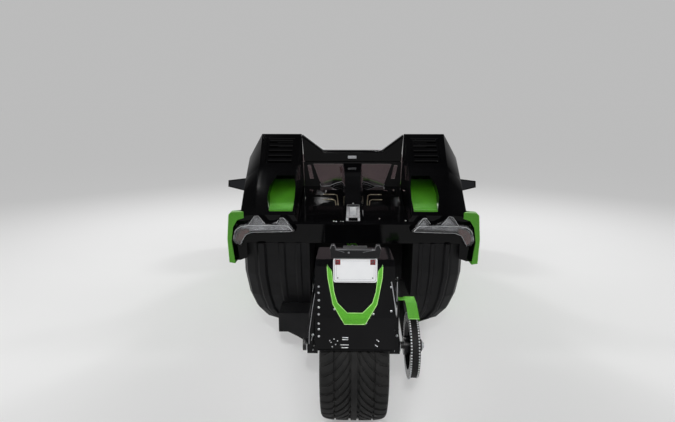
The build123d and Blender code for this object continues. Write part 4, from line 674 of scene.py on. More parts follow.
def make_tail_lamps():
    for side, word in SIDES:
        make_lamp_case(side, word)
        make_lamp_reflector(side, word)
        bm = bmesh.new()
        add_sheet(bm, REFLEX_OUTLINE, TAIL_Y - REFLEX_DEPTHS[0], TAIL_Y - REFLEX_DEPTHS[1], side)
        add_piece("tail_lamp_reflex_" + word, bm, "reflex_red")
        bm = bmesh.new()
        lens = inset_outline(LAMP_OUTLINE, 2.5)
        add_sheet(bm, lens, LAMP_FRONT_Y + 0.0040, LAMP_FRONT_Y + 0.0020, side)
        add_piece("tail_lamp_lens_" + word, bm, "clear_lamp")
        bm = bmesh.new()
        for radius, line in LIGHT_LINES:
            add_tube(bm, across(line, LAMP_FRONT_Y + 0.0020, side), radius / 1000, 6)
        add_piece("tail_lamp_strips_" + word, bm, "light_guide")


# silver lamp on the spine's end, x and z in mm
CENTRE_LAMP_OUTLINE = [(-40.5, 868), (40.5, 868), (35.5, 961.5), (-35.5, 961.5)]
CENTRE_LAMP_FACE = -1.0945


def make_centre_lamp():
    """The lamp's plate, its clear window, and two feet with a dark gap between them."""
    y = CENTRE_LAMP_FACE
    bm = bmesh.new()
    add_sheet(bm, CENTRE_LAMP_OUTLINE, y - 0.0005, -1.0805)
    add_piece("centre_lamp_case", bm, "lamp_reflector")
    bm = bmesh.new()
    add_box(bm, (-0.0180, y - 0.0030, 0.9000), (0.0180, y, 0.9480), 0.0012)
    add_box(bm, (-0.0390, y - 0.0020, 0.8690), (-0.0270, y, 0.8860), 0.0008)
    add_box(bm, (0.0270, y - 0.0020, 0.8690), (0.0390, y, 0.8860), 0.0008)
    add_piece("centre_lamp_lens", bm, "light_guide")
    bm = bmesh.new()
    add_box(bm, (-0.0240, y - 0.0023, 0.8690), (0.0240, y, 0.8870), 0.0008)
    add_box(bm, (-0.0340, y - 0.0013, 0.9520), (0.0340, y, 0.9600), 0.0008)
    add_piece("centre_lamp_gap", bm, "gloss_black")


# Plate, its fasteners, the fender's small parts and painted highlights on the fender

PLATE_FACE_Y = -1.882
PLATE_HALF_WIDTH = 0.090
PLATE_WALL = 0.0018
TAB_X = 0.0715


def make_plate():
    low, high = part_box("number_plate")
    middle = (low.z + high.z) / 2
    half = (high.z - low.z) / 2
    top = middle + half
    y = PLATE_FACE_Y
    bm = bmesh.new()
    outline = [(u, middle + v) for u, v in rounded_outline(PLATE_HALF_WIDTH, half, 0.010)]
    add_slab(bm, [(x, y, z) for x, z in outline], [(x, y + PLATE_WALL, z) for x, z in outline])
    add_piece("plate_sheet", bm, "plate_white", replaces=("number_plate",))
    # thin pressed lines inside the edge
    bm = bmesh.new()
    for inset, wide in ((0.0045, 0.0012), (0.0130, 0.0005)):
        rings = []
        for step in (inset, inset + wide):
            line = rounded_outline(PLATE_HALF_WIDTH - step, half - step, 0.0105 - step * 0.4)
            rings.append(new_ring(bm, [(u, y - 0.0003, middle + v) for u, v in line]))
        join_rings(bm, *rings)
    add_piece("plate_line", bm, "plate_line")
    bm = bmesh.new()
    for x in (-TAB_X, TAB_X):
        add_box(bm, (x - 0.0105, y - 0.0012, top - 0.030), (x + 0.0105, y, top - 0.0075), 0.0008)
    add_piece("plate_tabs", bm, "tab_red")
    bm = bmesh.new()
    for x in (-TAB_X, TAB_X):
        add_ball(bm, (x, y - 0.0012, top - 0.018), 0.0042, 0.4, (0, -1, 0))
        add_ball(bm, (x, y - 0.0002, middle - half + 0.0195), 0.0030, 0.4, (0, -1, 0))
    add_piece("plate_screws", bm, "plate_line")


# rear edge of the fender's side view in mm, as z and y
FENDER_BACK = [(494.0, -1892.0), (640.0, -1884.0), (846.0, -1826.0)]
# columns: x, z in mm of the bolts up the fender's edges and at the trim's corners
FENDER_BOLTS = [
    (-152, 764), (-152, 739), (-151, 709), (-151, 681), (-151, 653), (-151, 614), (-151, 589), (-151, 558),
    (152, 764), (152, 668), (-85, 674), (77, 656), (47, 618),
]
# columns: x and z of both ends, thickness in mm of the painted highlight bars over the fender's foot
FENDER_HIGHLIGHT_BARS = [
    (-52, 553, -27, 553, 3.6), (-52, 544, -27, 544, 3.6), (-60, 521, -25, 521, 3.8),
    (-55, 508, -27, 508, 3.8), (91, 545, 103, 537, 4.2), (86, 522, 97, 514, 4.2),
]
# painted highlight dots over the fender's foot, x and z in mm
FENDER_HIGHLIGHT_DOTS = [(-105, 539), (-87, 546), (-80, 522), (-94, 512), (-99, 531), (-72, 538)]
# painted highlight of a bead down the fender's right-hand side, x and z in mm
FENDER_BEAD_HIGHLIGHT = [(152, 785), (154, 778), (160, 743), (167, 697), (173, 652)]
# outer edge of the right-hand flare's rear face, x and z in mm, traced by a painted highlight
FLARE_EDGE_HIGHLIGHT = [(618, 929), (684, 926), (698, 911), (710, 772), (705, 636)]
FLARE_FACE_Y = -1.1395
# half outlines of the trim's outer and inner edge, x and z in mm, traced by painted highlights
TRIM_EDGE_HIGHLIGHTS = [
    [(0, 614), (43, 614), (58, 640), (92, 696), (114, 801), (117, 846)],
    [(0, 661), (32, 661), (74, 701), (89, 748), (98, 828)],
]
TRIM_PROUD = 5.2


def on_fender(x, z, out=0.0):
    """A place on the fender's rear face, or out from it, from mm across and up."""
    return Vector((x / 1000, (read_off(FENDER_BACK, z) - out) / 1000, z / 1000))


def make_fender_details():
    bm = bmesh.new()
    for x, z in FENDER_BOLTS:
        add_ball(bm, on_fender(x, z, 0.5), 0.0052, 0.6, (0, -1, 0))
    add_piece("fender_bolts", bm, "aluminium")
    # bright slots and rivets over the foot
    # painted highlights over the foot: bright bars and dots
    bm = bmesh.new()
    for x_a, z_a, x_b, z_b, thick in FENDER_HIGHLIGHT_BARS:
        add_tube(bm, [on_fender(x_a, z_a, 0.4), on_fender(x_b, z_b, 0.4)], thick / 2000, 8)
    for x, z in FENDER_HIGHLIGHT_DOTS:
        add_ball(bm, on_fender(x, z, 0.3), 0.0028, 0.6, (0, -1, 0))
    add_piece("fender_painted_highlights", bm, "light_guide")
    bm = bmesh.new()
    add_box(bm, (-0.160, -1.8950, 0.4945), (0.160, -1.8860, 0.5005), 0.002)
    add_piece("fender_lip", bm, "gloss_black")
    # painted highlights: thin pale lines along the trim's outline, the flares and the belt guard's rear
    bm = bmesh.new()
    for side in (1, -1):
        for line in TRIM_EDGE_HIGHLIGHTS:
            add_tube(bm, [on_fender(side * x, z, TRIM_PROUD) for x, z in line], 0.0017, 6)
        add_tube(bm, across(FLARE_EDGE_HIGHLIGHT, FLARE_FACE_Y, side), 0.0016, 6)
    add_rod(bm, (0.2615, -1.6118, 0.5125), (0.3125, -1.6118, 0.5125), 0.0014, 8)
    add_piece("trim_painted_highlights", bm, "edge_green")


# outline of the plate bracket's eared head, half of it, x and z in mm, traced by a painted highlight
BRACKET_HIGHLIGHT_LINE = [(0, 938), (78, 938), (84, 955), (96, 957), (102, 942)]


def make_bracket_details():
    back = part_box("plate_bracket")[0].y
    # painted highlight lines along the bracket's head and ears, and a grey ball
    bm = bmesh.new()
    for side in (1, -1):
        add_tube(bm, across(BRACKET_HIGHLIGHT_LINE, back + 0.0004, side), 0.0012, 6)
    for outer, inner in ((-0.083, -0.045), (0.083, 0.030)):
        add_rod(bm, (outer, back + 0.0004, 0.9385), (inner, back + 0.0004, 0.9280), 0.0010, 6)
    add_ball(bm, (-0.027, back + 0.0002, 0.9260), 0.0042, 0.6, (0, -1, 0))
    add_piece("bracket_highlight_lines", bm, "bracket_grey")


STRUT_BACK_Y = -1.6248
STRUT_BOLT_Z = 0.431
# edges of the struts' rear faces, x and z in mm, traced by painted highlights
STRUT_EDGE_HIGHLIGHT_RIGHT = [(171, 690), (176, 650), (186, 570), (192, 497), (195, 455)]
STRUT_EDGE_HIGHLIGHT_LEFT = [(-182, 650), (-196, 570), (-206, 497), (-213, 450), (-215, 385)]
# x and y of the brake line's guide beside the right-hand strut; the guide's bright rod is a painted
# highlight
GUIDE = (0.2055, -1.590)


def make_strut_details():
    """Bolts, a link and painted highlights along the edges of the fender's struts, and the brake line in its
    guide, whose bright rod is a painted highlight.
    """
    back = STRUT_BACK_Y
    bm = bmesh.new()
    for x in (-0.196, 0.207):
        add_ball(bm, (x, back - 0.0005, STRUT_BOLT_Z), 0.0068, 0.6, (0, -1, 0))
    add_rod(bm, (-0.196, back - 0.002, STRUT_BOLT_Z), (-0.2035, back - 0.002, 0.402), 0.0016, 8)
    add_tube(bm, across(STRUT_EDGE_HIGHLIGHT_RIGHT, back - 0.0002), 0.0022, 6)
    add_tube(bm, across(STRUT_EDGE_HIGHLIGHT_LEFT, back - 0.0002), 0.0016, 6)
    add_piece("strut_fittings_and_highlights", bm, "aluminium")
    # the guide's bright rod and tip, a painted highlight
    bm = bmesh.new()
    add_rod(bm, (*GUIDE, 0.592), (*GUIDE, 0.690), 0.0023, 12)
    add_ball(bm, (*GUIDE, 0.711), 0.0030)
    add_piece("line_guide_highlight", bm, "aluminium")
    # painted highlight of a pressed bead down the right-hand side of the fender
    bm = bmesh.new()
    add_tube(bm, [on_fender(x, z, 0.3) for x, z in FENDER_BEAD_HIGHLIGHT], 0.0022, 8)
    add_piece("fender_bead_highlight", bm, "aluminium")
    # flexible line inside the guide, clipped to the fender and the strut
    bm = bmesh.new()
    add_rod(bm, (*GUIDE, 0.560), (*GUIDE, 0.716), 0.0020, 10)
    add_rod(bm, (0.1500, -1.590, 0.703), (*GUIDE, 0.703), 0.0030, 10)
    add_rod(bm, (0.1860, -1.608, 0.575), (*GUIDE, 0.575), 0.0030, 10)
    add_piece("line_clips", bm, "black_steel")


# Swingarm and rear drive

ARM_OUTER_X = 0.2262
ARM_BOLTS = [(-1.47, 0.372), (-1.40, 0.380), (-1.10, 0.400), (-1.02, 0.405)]
# weld bead round each end of the cross box, and rib along each arm's outside: x, then y and z
CROSS_BOX_X = 0.1755
CROSS_BOX = [(-1.177, 0.372), (-1.177, 0.473), (-0.926, 0.473), (-0.926, 0.372)]
RIB_X = 0.2268
RIB = [(-1.50, 0.400), (-1.38, 0.415), (-1.05, 0.455), (-0.98, 0.445)]


def make_swingarm_details():
    bm = bmesh.new()
    for side in (1, -1):
        # axle blocks with adjuster screws and pinch bolts on the outer faces
        face = side * ARM_OUTER_X
        near, far = sorted((face, face + side * 0.006))
        add_box(bm, (near, -1.588, 0.326), (far, -1.512, 0.365), 0.003)
        screw_x = side * 0.201
        add_rod(bm, (screw_x, -1.612, REAR_AXLE.z), (screw_x, -1.590, REAR_AXLE.z), 0.006, 12, bevel=0.001)
        for y, z in ARM_BOLTS:
            add_ball(bm, (face + side * 0.001, y, z), 0.007, 0.5, (1, 0, 0))
    add_piece("swingarm_fittings", bm, "aluminium")
    bm = bmesh.new()
    for side in (1, -1):
        add_tube(bm, [(side * CROSS_BOX_X, y, z) for y, z in CROSS_BOX], 0.003, 6, True)
        add_tube(bm, [(side * RIB_X, y, z) for y, z in RIB], 0.004, 6)
    add_piece("swingarm_beads", bm, "black_steel")


PULLEY_X = 0.2920
TOOTH_COUNT = 70
# columns: distance out from the pulley's middle, distance from the axle
PULLEY_TEETH = (-0.0235, 0.1575)
BELT_TEETH = (0.0138, 0.1522)
BELT_RIB_COUNT = 6
BELT_RIB_PITCH = 0.0062
BELT_RIB_RADIUS = 0.1523
BELT_RIB_STEPS = 60


def add_tooth_end_highlight(bm, row, angle):
    """A small pale ball beside the belt, a tooth end with a painted highlight, at an angle round the rear
    axle; 0 is straight behind it.
    """
    out, radius = row
    way = Vector((0, -math.cos(angle), math.sin(angle)))
    add_ball(bm, Vector((PULLEY_X + out, REAR_AXLE.y, REAR_AXLE.z)) + way * radius, 0.0040, 0.8, way)


def make_pulley_details():
    """Tooth ends painted pale as highlights on both sides of the belt, the belt's ribs and the pulley's
    bolts.
    """
    x, y, z = PULLEY_X, REAR_AXLE.y, REAR_AXLE.z
    bm = bmesh.new()
    for i in range(TOOTH_COUNT):
        add_tooth_end_highlight(bm, PULLEY_TEETH, 2 * math.pi * i / TOOTH_COUNT)
    add_piece("pulley_tooth_highlights", bm, "light_guide", "wheel_rear")
    # tooth ends along the belt's outer edge, behind the pulley, painted pale as highlights
    bm = bmesh.new()
    for i in range(-TOOTH_COUNT // 4 + 1, TOOTH_COUNT // 4):
        add_tooth_end_highlight(bm, BELT_TEETH, 2 * math.pi * (i + 0.5) / TOOTH_COUNT)
    add_piece("belt_tooth_highlights", bm, "light_guide")
    bm = bmesh.new()
    for bolt_y, bolt_z in around(REAR_AXLE, 0.062, 5):
        add_rod(bm, (x + 0.006, bolt_y, bolt_z), (x + 0.016, bolt_y, bolt_z), 0.008, 6, bevel=0.001)
    add_rod(bm, (x + 0.036, y, z), (x + 0.050, y, z), 0.026, 6, bevel=0.002)
    add_rod(bm, (x + 0.050, y, z), (x + 0.056, y, z), 0.014, 24, bevel=0.001)
    add_piece("pulley_bolts", bm, "aluminium", body="wheel_rear")
    # belt back: fine ribs along the run over the rear pulley
    bm = bmesh.new()
    for k in range(BELT_RIB_COUNT):
        points = []
        for i in range(BELT_RIB_STEPS + 1):
            angle = math.radians(-100 + 200 * i / BELT_RIB_STEPS)
            rise, back = BELT_RIB_RADIUS * math.sin(angle), BELT_RIB_RADIUS * math.cos(angle)
            points.append((x - 0.0155 + k * BELT_RIB_PITCH, y - back, z + rise))
        add_tube(bm, points, 0.0013, 5)
    add_piece("belt_ribs", bm, "belt_rubber")


# Dampers with coil springs

# columns: name, lower eye, upper eye, coil radius, wire radius, turns, half width of the eye
DAMPERS = [
    ("front_right", (0.590, 1.1125, 0.2423), (0.392, 1.1125, 0.588), 0.033, 0.0055, 7.5, 0.030),
    ("front_left", (-0.590, 1.1125, 0.2423), (-0.392, 1.1125, 0.588), 0.033, 0.0055, 7.5, 0.030),
    ("rear", (0.0, -1.0395, 0.4863), (0.0, -0.6023, 0.720), 0.036, 0.0065, 8.0, 0.040),
]


def make_dampers():
    for name, low, high, coil, wire, turns, eye_half in DAMPERS:
        low, high = Vector(low), Vector(high)
        way = (high - low).normalized()
        crosswise = Vector((1, 0, 0)) if name == "rear" else Vector((0, 1, 0))
        length = (high - low).length
        # columns: start, end, radius, sides of the eye, the body, both spring seats and the top
        bars = [
            (low - crosswise * eye_half * 0.7, low + crosswise * eye_half * 0.7, 0.0155, 24),
            (low, low + way * (length * 0.55), 0.017, 24),
            (low + way * 0.055, low + way * 0.063, 0.036, 28),
            (high - way * 0.062, high - way * 0.050, 0.036, 28),
            (high - way * 0.062, high - way * 0.012, 0.019, 24),
        ]
        bm = bmesh.new()
        for start, end, radius, sides in bars:
            add_rod(bm, start, end, radius, sides, bevel=0.002)
        replaced = ("dampers",) if name == "rear" else ()
        add_piece("damper_body_" + name, bm, "black_steel", replaces=replaced)
        bm = bmesh.new()
        add_rod(bm, low + way * (length * 0.5), high - way * 0.02, 0.0075, 20)
        add_piece("damper_rod_" + name, bm, "disc_steel")
        bm = bmesh.new()
        add_tube(bm, helix(low + way * 0.066, high - way * 0.065, coil - wire, turns), wire, 8)
        add_piece("damper_spring_" + name, bm, "lime_green")


# Wheel nuts, caps and disc holes

# how far out the hub's face, its cap and its nuts reach
HUB_FACE_X = 0.938
HUB_CAP_X = 0.948
HUB_NUT_X = 0.956
# columns: distance from the axle, number of holes
DISC_HOLES = [(0.086, 20), (0.106, 24), (0.128, 28)]
DISC_FACES_X = (0.8418, 0.8642)


def make_front_wheel_details(side, word):
    body = "wheel_front_" + word
    axle_y, axle_z = FRONT_AXLE.y, FRONT_AXLE.z
    face_x = side * HUB_FACE_X
    bm = bmesh.new()
    add_rod(bm, (face_x, axle_y, axle_z), (side * HUB_CAP_X, axle_y, axle_z), 0.029, 32, bevel=0.003)
    for y, z in around(FRONT_AXLE, 0.047, 5):
        add_rod(bm, (face_x, y, z), (side * HUB_NUT_X, y, z), 0.0085, 6, bevel=0.0015)
    add_piece("wheel_nuts_" + word, bm, "aluminium", body=body)
    # dark drilled pits round the disc
    bm = bmesh.new()
    for disc_x in DISC_FACES_X:
        near, far = side * (disc_x - 0.0003), side * (disc_x + 0.0003)
        for ring, count in DISC_HOLES:
            for y, z in around(FRONT_AXLE, ring, count, ring * 20):
                add_rod(bm, (near, y, z), (far, y, z), 0.0035, 8)
    add_piece("disc_holes_" + word, bm, "black_steel", body=body)
    # flexible brake hose on the knuckle
    bm = bmesh.new()
    points = []
    for i in range(9):
        points.append((side * (0.822 - 0.012 * i), 0.965 + 0.012 * i, 0.392 + 0.018 * i - 0.0012 * i * i))
    add_tube(bm, points, 0.005, 8)
    add_piece("brake_hose_" + word, bm, "belt_rubber", body="knuckle_" + word)


def make_wheel_details():
    for side, word in SIDES:
        make_front_wheel_details(side, word)
    bm = bmesh.new()
    for y, z in around(REAR_AXLE, 0.052, 5):
        add_rod(bm, (0.074, y, z), (0.092, y, z), 0.009, 6, bevel=0.0015)
    add_piece("rear_wheel_nuts", bm, "aluminium", body="wheel_rear")


# Seats: padded cushions with bolsters and stitched channels

SEAT_X = 0.345
SEAT_HALF = 0.200
BACKING_HALF = SEAT_HALF - 0.004
ACROSS = 34
ALONG = 36
# side views as (y, z) of the faces that a person touches
BASE_LINE = [(-0.322, 0.205), (-0.10, 0.218), (0.10, 0.262), (0.160, 0.250)]
BACK_LINE = [(-0.362, 0.215), (-0.382, 0.45), (-0.400, 0.70), (-0.424, 0.955)]
# columns: name, its line, which way it swells, how much it narrows, thickness, share that is filled
PADS = [("base", BASE_LINE, -1, 0.0, 0.088, 0.75), ("back", BACK_LINE, 1, 0.16, 0.060, 0.7)]
# side views as (y, z) of the moulded backings under the pads
BACKINGS = [
    [(-0.322, 0.152), (0.140, 0.152), (0.152, 0.246), (0.10, 0.258), (-0.10, 0.214), (-0.322, 0.201)],
    [(-0.366, 0.212), (-0.386, 0.45), (-0.404, 0.70), (-0.428, 0.962), (-0.446, 0.962), (-0.452, 0.70),
     (-0.440, 0.40), (-0.420, 0.152), (-0.345, 0.152)],
]


def line_at(points, share):
    """A place along an open line of points and the way there, by share of its length."""
    lengths = [(Vector(b) - Vector(a)).length for a, b in zip(points, points[1:])]
    left = share * sum(lengths)
    for (a, b), length in zip(zip(points, points[1:]), lengths):
        if left <= length:
            return Vector(a).lerp(Vector(b), left / length), (Vector(b) - Vector(a)).normalized()
        left -= length
    return Vector(points[-1]), (Vector(points[-1]) - Vector(points[-2])).normalized()


def dome(share, width):
    """0 at a rim and 1 from a width inside it, as a quarter of a circle."""
    return (1 - (1 - min(share / width, 1)) ** 2) ** 0.5


def pad_height(u, v):
    """A pad's height as a share of its depth: swollen, with bolsters, sewn channels and a seam."""
    edge, end = min(u, 1 - u) * 2, min(v, 1 - v) * 2
    bolster = max(0.0, 1 - abs(edge - 0.16) / 0.20) * 0.26
    panel = -0.10 * abs(math.cos(math.pi * v * 7)) ** 10 if edge > 0.42 else 0.0
    seam = -0.16 * max(0.0, 1 - abs(edge - 0.40) / 0.035)
    return 0.10 + dome(edge, 0.16) * dome(end, 0.12) * (0.74 + bolster + panel + seam)


def cushion(x, line, swell, narrowing, depth):
    """A closed pad that follows a seat's side view."""
    bm = bmesh.new()
    top, low = [], []
    for j in range(ALONG + 1):
        v = j / ALONG
        spot, way = line_at([(0, *p) for p in line], v)
        top_line, low_line = [], []
        for i in range(ACROSS + 1):
            u = i / ACROSS
            across_x = x + (u - 0.5) * 2 * SEAT_HALF * (1 - narrowing * v * v)
            height = swell * depth * pad_height(u, v)
            top_line.append(bm.verts.new((across_x, spot.y + way.z * height, spot.z - way.y * height)))
            low_line.append(bm.verts.new((across_x, spot.y, spot.z)))
        top.append(top_line)
        low.append(low_line)
    for j in range(ALONG):
        for i in range(ACROSS):
            bm.faces.new((top[j][i], top[j][i + 1], top[j + 1][i + 1], top[j + 1][i]))
            bm.faces.new((low[j + 1][i], low[j + 1][i + 1], low[j][i + 1], low[j][i]))
    rim = [(0, i) for i in range(ACROSS)] + [(j, ACROSS) for j in range(ALONG)]
    rim += [(ALONG, i) for i in range(ACROSS, 0, -1)] + [(j, 0) for j in range(ALONG, 0, -1)]
    for (ja, ia), (jb, ib) in zip(rim, rim[1:] + rim[:1]):
        bm.faces.new((low[ja][ia], low[jb][ib], top[jb][ib], top[ja][ia]))
    return bm


def make_seat(side, word):
    x = side * SEAT_X
    for kind, line, swell, narrowing, depth, fill in PADS:
        replaced = ("seats",) if side > 0 and kind == "base" else ()
        bm = cushion(x, line, swell, narrowing, depth)
        name = "seat_" + kind + "_" + word
        pad = add_piece(name, bm, "vinyl_black", replaces=replaced, sharp_angle=60.0)
        smooth = pad.modifiers.new("smooth", "SUBSURF")
        smooth.levels = smooth.render_levels = 1
    bm = bmesh.new()
    for outline in BACKINGS:
        left, right = x - BACKING_HALF, x + BACKING_HALF
        add_slab(bm, [(left, y, z) for y, z in outline], [(right, y, z) for y, z in outline])
    add_piece("seat_shell_" + word, bm, "charcoal_plastic")
    # belt from the shoulder down to its anchor, and the buckle on the other side
    bm = bmesh.new()
    shoulder = Vector((x + side * 0.205, -0.40, 0.90))
    anchor = Vector((x + side * 0.222, -0.30, 0.24))
    wide = (anchor - shoulder).normalized().cross(Vector((1, 0, 0))).normalized() * 0.023
    thin = Vector((0.0012, 0, 0))
    corners = [shoulder - wide - thin, shoulder + wide - thin, anchor + wide - thin, anchor - wide - thin]
    add_slab(bm, corners, [corner + thin * 2 for corner in corners])
    buckle_x = x - side * 0.215
    add_box(bm, (buckle_x - 0.011, -0.285, 0.225), (buckle_x + 0.011, -0.240, 0.330), 0.004)
    add_piece("seat_belt_" + word, bm, "belt_webbing")


# Dashboard, controls and mirrors

DIALS_X = (-0.395, -0.265)
DIAL_Z = 0.746
STEER_CENTRE = Vector((-0.33, 0.07, 0.77))
COLUMN_RAKE = math.radians(24)
# degrees round the steering wheel
SPOKES = (-8, 188, 270)
# columns: x, height of each pedal's pad
PEDALS = [(-0.43, 0.09), (-0.33, 0.09), (-0.235, 0.14)]
# right-hand mirror's glass, x and z in mm
MIRROR_OUTLINE = [(848, 856.5), (971, 887.5), (967, 923.5), (842, 939.5)]


def make_dash_details():
    # rims of two round dials, and the screen in the middle of the dashboard
    bm = bmesh.new()
    for x in DIALS_X:
        add_rod(bm, (x, 0.342, 0.745), (x, 0.332, DIAL_Z), 0.040, 36, bevel=0.002)
    add_box(bm, (-0.09, 0.336, 0.700), (0.09, 0.350, 0.790), 0.004)
    add_piece("dash_bezels", bm, "gloss_black")
    # dials with their marks and needles
    bm = bmesh.new()
    for x in DIALS_X:
        add_rod(bm, (x, 0.3325, 0.7459), (x, 0.3315, DIAL_Z), 0.034, 36)
        for i in range(11):
            angle = math.radians(-40 + 26 * i)
            ends = [(x + r * math.cos(angle), 0.3310, DIAL_Z + r * math.sin(angle)) for r in (0.028, 0.032)]
            add_rod(bm, *ends, 0.0007, 5)
        add_rod(bm, (x, 0.3305, DIAL_Z), (x - 0.022, 0.3305, 0.760), 0.0010, 5)
    add_piece("dash_dials", bm, "dial_face")
    # vents, glovebox lid and switches
    bm = bmesh.new()
    for x in (-0.50, 0.16, 0.50):
        for k in range(4):
            z = 0.728 + k * 0.012
            add_box(bm, (x - 0.034, 0.338, z), (x + 0.034, 0.352, z + 0.005), 0.001)
    add_box(bm, (0.235, 0.339, 0.708), (0.455, 0.352, 0.782), 0.006)
    for i in range(5):
        add_box(bm, (-0.07 + i * 0.030, 0.345, 0.668), (-0.052 + i * 0.030, 0.356, 0.684), 0.002)
    add_piece("dash_trim", bm, "charcoal_plastic")


def make_cockpit_details():
    make_dash_details()
    # gear lever with its gaiter, and hand brake on the tunnel
    bm = bmesh.new()
    add_rod(bm, (0.0, 0.04, 0.329), (0.0, 0.025, 0.415), 0.008, 14)
    add_ball(bm, (0.0, 0.023, 0.430), 0.022)
    add_rod(bm, (0.0, 0.04, 0.3295), (0.0, 0.038, 0.350), 0.045, 24, 0.012)
    add_rod(bm, (0.045, -0.18, 0.345), (0.045, -0.02, 0.375), 0.012, 16, bevel=0.003)
    add_piece("levers", bm, "charcoal_plastic")
    bm = bmesh.new()
    for x, height in PEDALS:
        add_rod(bm, (x, 0.70, 0.52), (x, 0.63, 0.26), 0.008, 12)
        add_box(bm, (x - 0.028, 0.612, 0.235), (x + 0.028, 0.622, 0.235 + height), 0.003)
    add_piece("pedals", bm, "aluminium")
    # padded centre of the steering wheel and the roots of its spokes
    back = Vector((0, -math.cos(COLUMN_RAKE), math.sin(COLUMN_RAKE)))
    up = Vector((0, math.sin(COLUMN_RAKE), math.cos(COLUMN_RAKE)))
    bm = bmesh.new()
    add_rod(bm, STEER_CENTRE + back * 0.008, STEER_CENTRE + back * 0.020, 0.046, 36, 0.038, bevel=0.003)
    for degrees in SPOKES:
        angle = math.radians(degrees)
        way = Vector((math.cos(angle), 0, 0)) + up * math.sin(angle)
        root = STEER_CENTRE + way * 0.075 + back * 0.004
        tip = STEER_CENTRE + way * 0.115 + back * 0.004
        add_rod(bm, root, tip, 0.011, 14, 0.008, bevel=0.002)
    add_piece("wheel_pad", bm, "vinyl_black", body="steering_wheel")


def make_mirror_glass():
    for side, word in SIDES:
        bm = bmesh.new()
        add_sheet(bm, MIRROR_OUTLINE, 0.0205, 0.0195, side)
        add_piece("mirror_glass_" + word, bm, "mirror_glass")


# Body: painted highlights on the deck's brackets and under the windows, painted glints as rivets and a clip,
# a latch and panel screws

# columns: y and z of the deck's surface in mm, from the tail to the bulkhead
DECK_SIDE = [(-1100.0, 863.0), (-860.0, 905.0), (-670.0, 975.0), (-586.3, 985.0)]
# edges of the raised bracket on each half of the deck, x and y in mm, traced by painted highlights
DECK_BRACKET_HIGHLIGHTS = [
    [(186, -727), (112, -727), (98, -740), (93, -790), (90, -850)],
    [(186, -787), (121, -787), (108, -800), (103, -850)],
]
# painted glints on the deck's rear edge, shaped as rivets: x and y in mm
DECK_RIVET_GLINTS = [(-109, -1090), (-96, -1094), (-70, -1092), (-57, -1094), (153, -1050), (300, -1080)]
# lower edge of each rear window, x and z in mm, and how far below it a second line runs; both lines are
# painted highlights
WINDOW_EDGE = [(60, 1023), (62, 1018), (104, 1008), (150, 989), (207, 984), (214, 1002)]
WINDOW_HIGHLIGHT_DROP = 13
WINDOW_Y = -0.5872
# columns: x, y, z, radius, flatness, way out of the screws on one side
PANEL_SCREWS = [
    (0.7135, -1.02, 0.875, 0.008, 0.45, (1, 0, 0)), (0.7135, -0.86, 0.868, 0.008, 0.45, (1, 0, 0)),
    (0.7135, -0.64, 0.80, 0.008, 0.45, (1, 0, 0)), (0.714, -0.30, 0.535, 0.007, 0.35, (1, 0, 0.3)),
    (0.714, -0.05, 0.535, 0.007, 0.35, (1, 0, 0.3)), (0.714, 0.20, 0.535, 0.007, 0.35, (1, 0, 0.3)),
    (0.36, -0.4675, 1.275, 0.007, 0.45, (0, 1, 0)), (0.56, -0.4675, 1.275, 0.007, 0.45, (0, 1, 0)),
]


def on_deck(x, y, out):
    """A place on the deck, or above it, from mm across and forward."""
    return (x / 1000, y / 1000, (read_off(DECK_SIDE, y) + out) / 1000)


def make_body_details():
    # painted highlights in bronze along the edges of the deck's raised brackets
    bm = bmesh.new()
    for side in (1, -1):
        for line in DECK_BRACKET_HIGHLIGHTS:
            add_tube(bm, [on_deck(side * x, y, 0.8) for x, y in line], 0.0030, 6)
    add_piece("deck_bracket_highlights", bm, "bronze")
    bm = bmesh.new()
    for side in (1, -1):
        # painted highlights: a bright line under each rear window, and the line below it
        add_tube(bm, across(WINDOW_EDGE, WINDOW_Y, side), 0.0018, 6)
        below = [(x, z - WINDOW_HIGHLIGHT_DROP) for x, z in WINDOW_EDGE[1:-1]]
        add_tube(bm, across(below, WINDOW_Y, side), 0.0011, 6)
    # painted glints on the deck's rear edge, shaped as rivets, and one on the spine's side, shaped as a clip
    for x, y in DECK_RIVET_GLINTS:
        add_ball(bm, on_deck(x, y, 1.0), 0.0040, 0.5)
    add_box(bm, (0.0540, -1.0600, 0.8880), (0.0585, -1.0560, 0.9240), 0.0008)
    # latch plate on the bar over the spine, and the screw on the spine's end
    add_box(bm, (-0.0300, -0.5925, 1.1700), (0.0260, -0.5895, 1.1890), 0.0012)
    add_ball(bm, (0.0, -1.0765, 0.9672), 0.0050, 0.5)
    add_piece("deck_fittings_and_highlights", bm, "aluminium")
    bm = bmesh.new()
    for side in (1, -1):
        for x, y, z, radius, flat, way in PANEL_SCREWS:
            add_ball(bm, (side * x, y, z), radius, flat, way)
    add_piece("panel_screws", bm, "aluminium")


# Front: headlamps' insides, radiator fins and the hood's outlets

# x and y of the right-hand headlamp's two projectors
PROJECTORS = [(0.345, 1.800), (0.430, 1.757)]
PROJECTOR_Z = 0.375
FIN_COUNT = 44
FIN_PITCH = 0.0046
OUTLET_BARS = 12


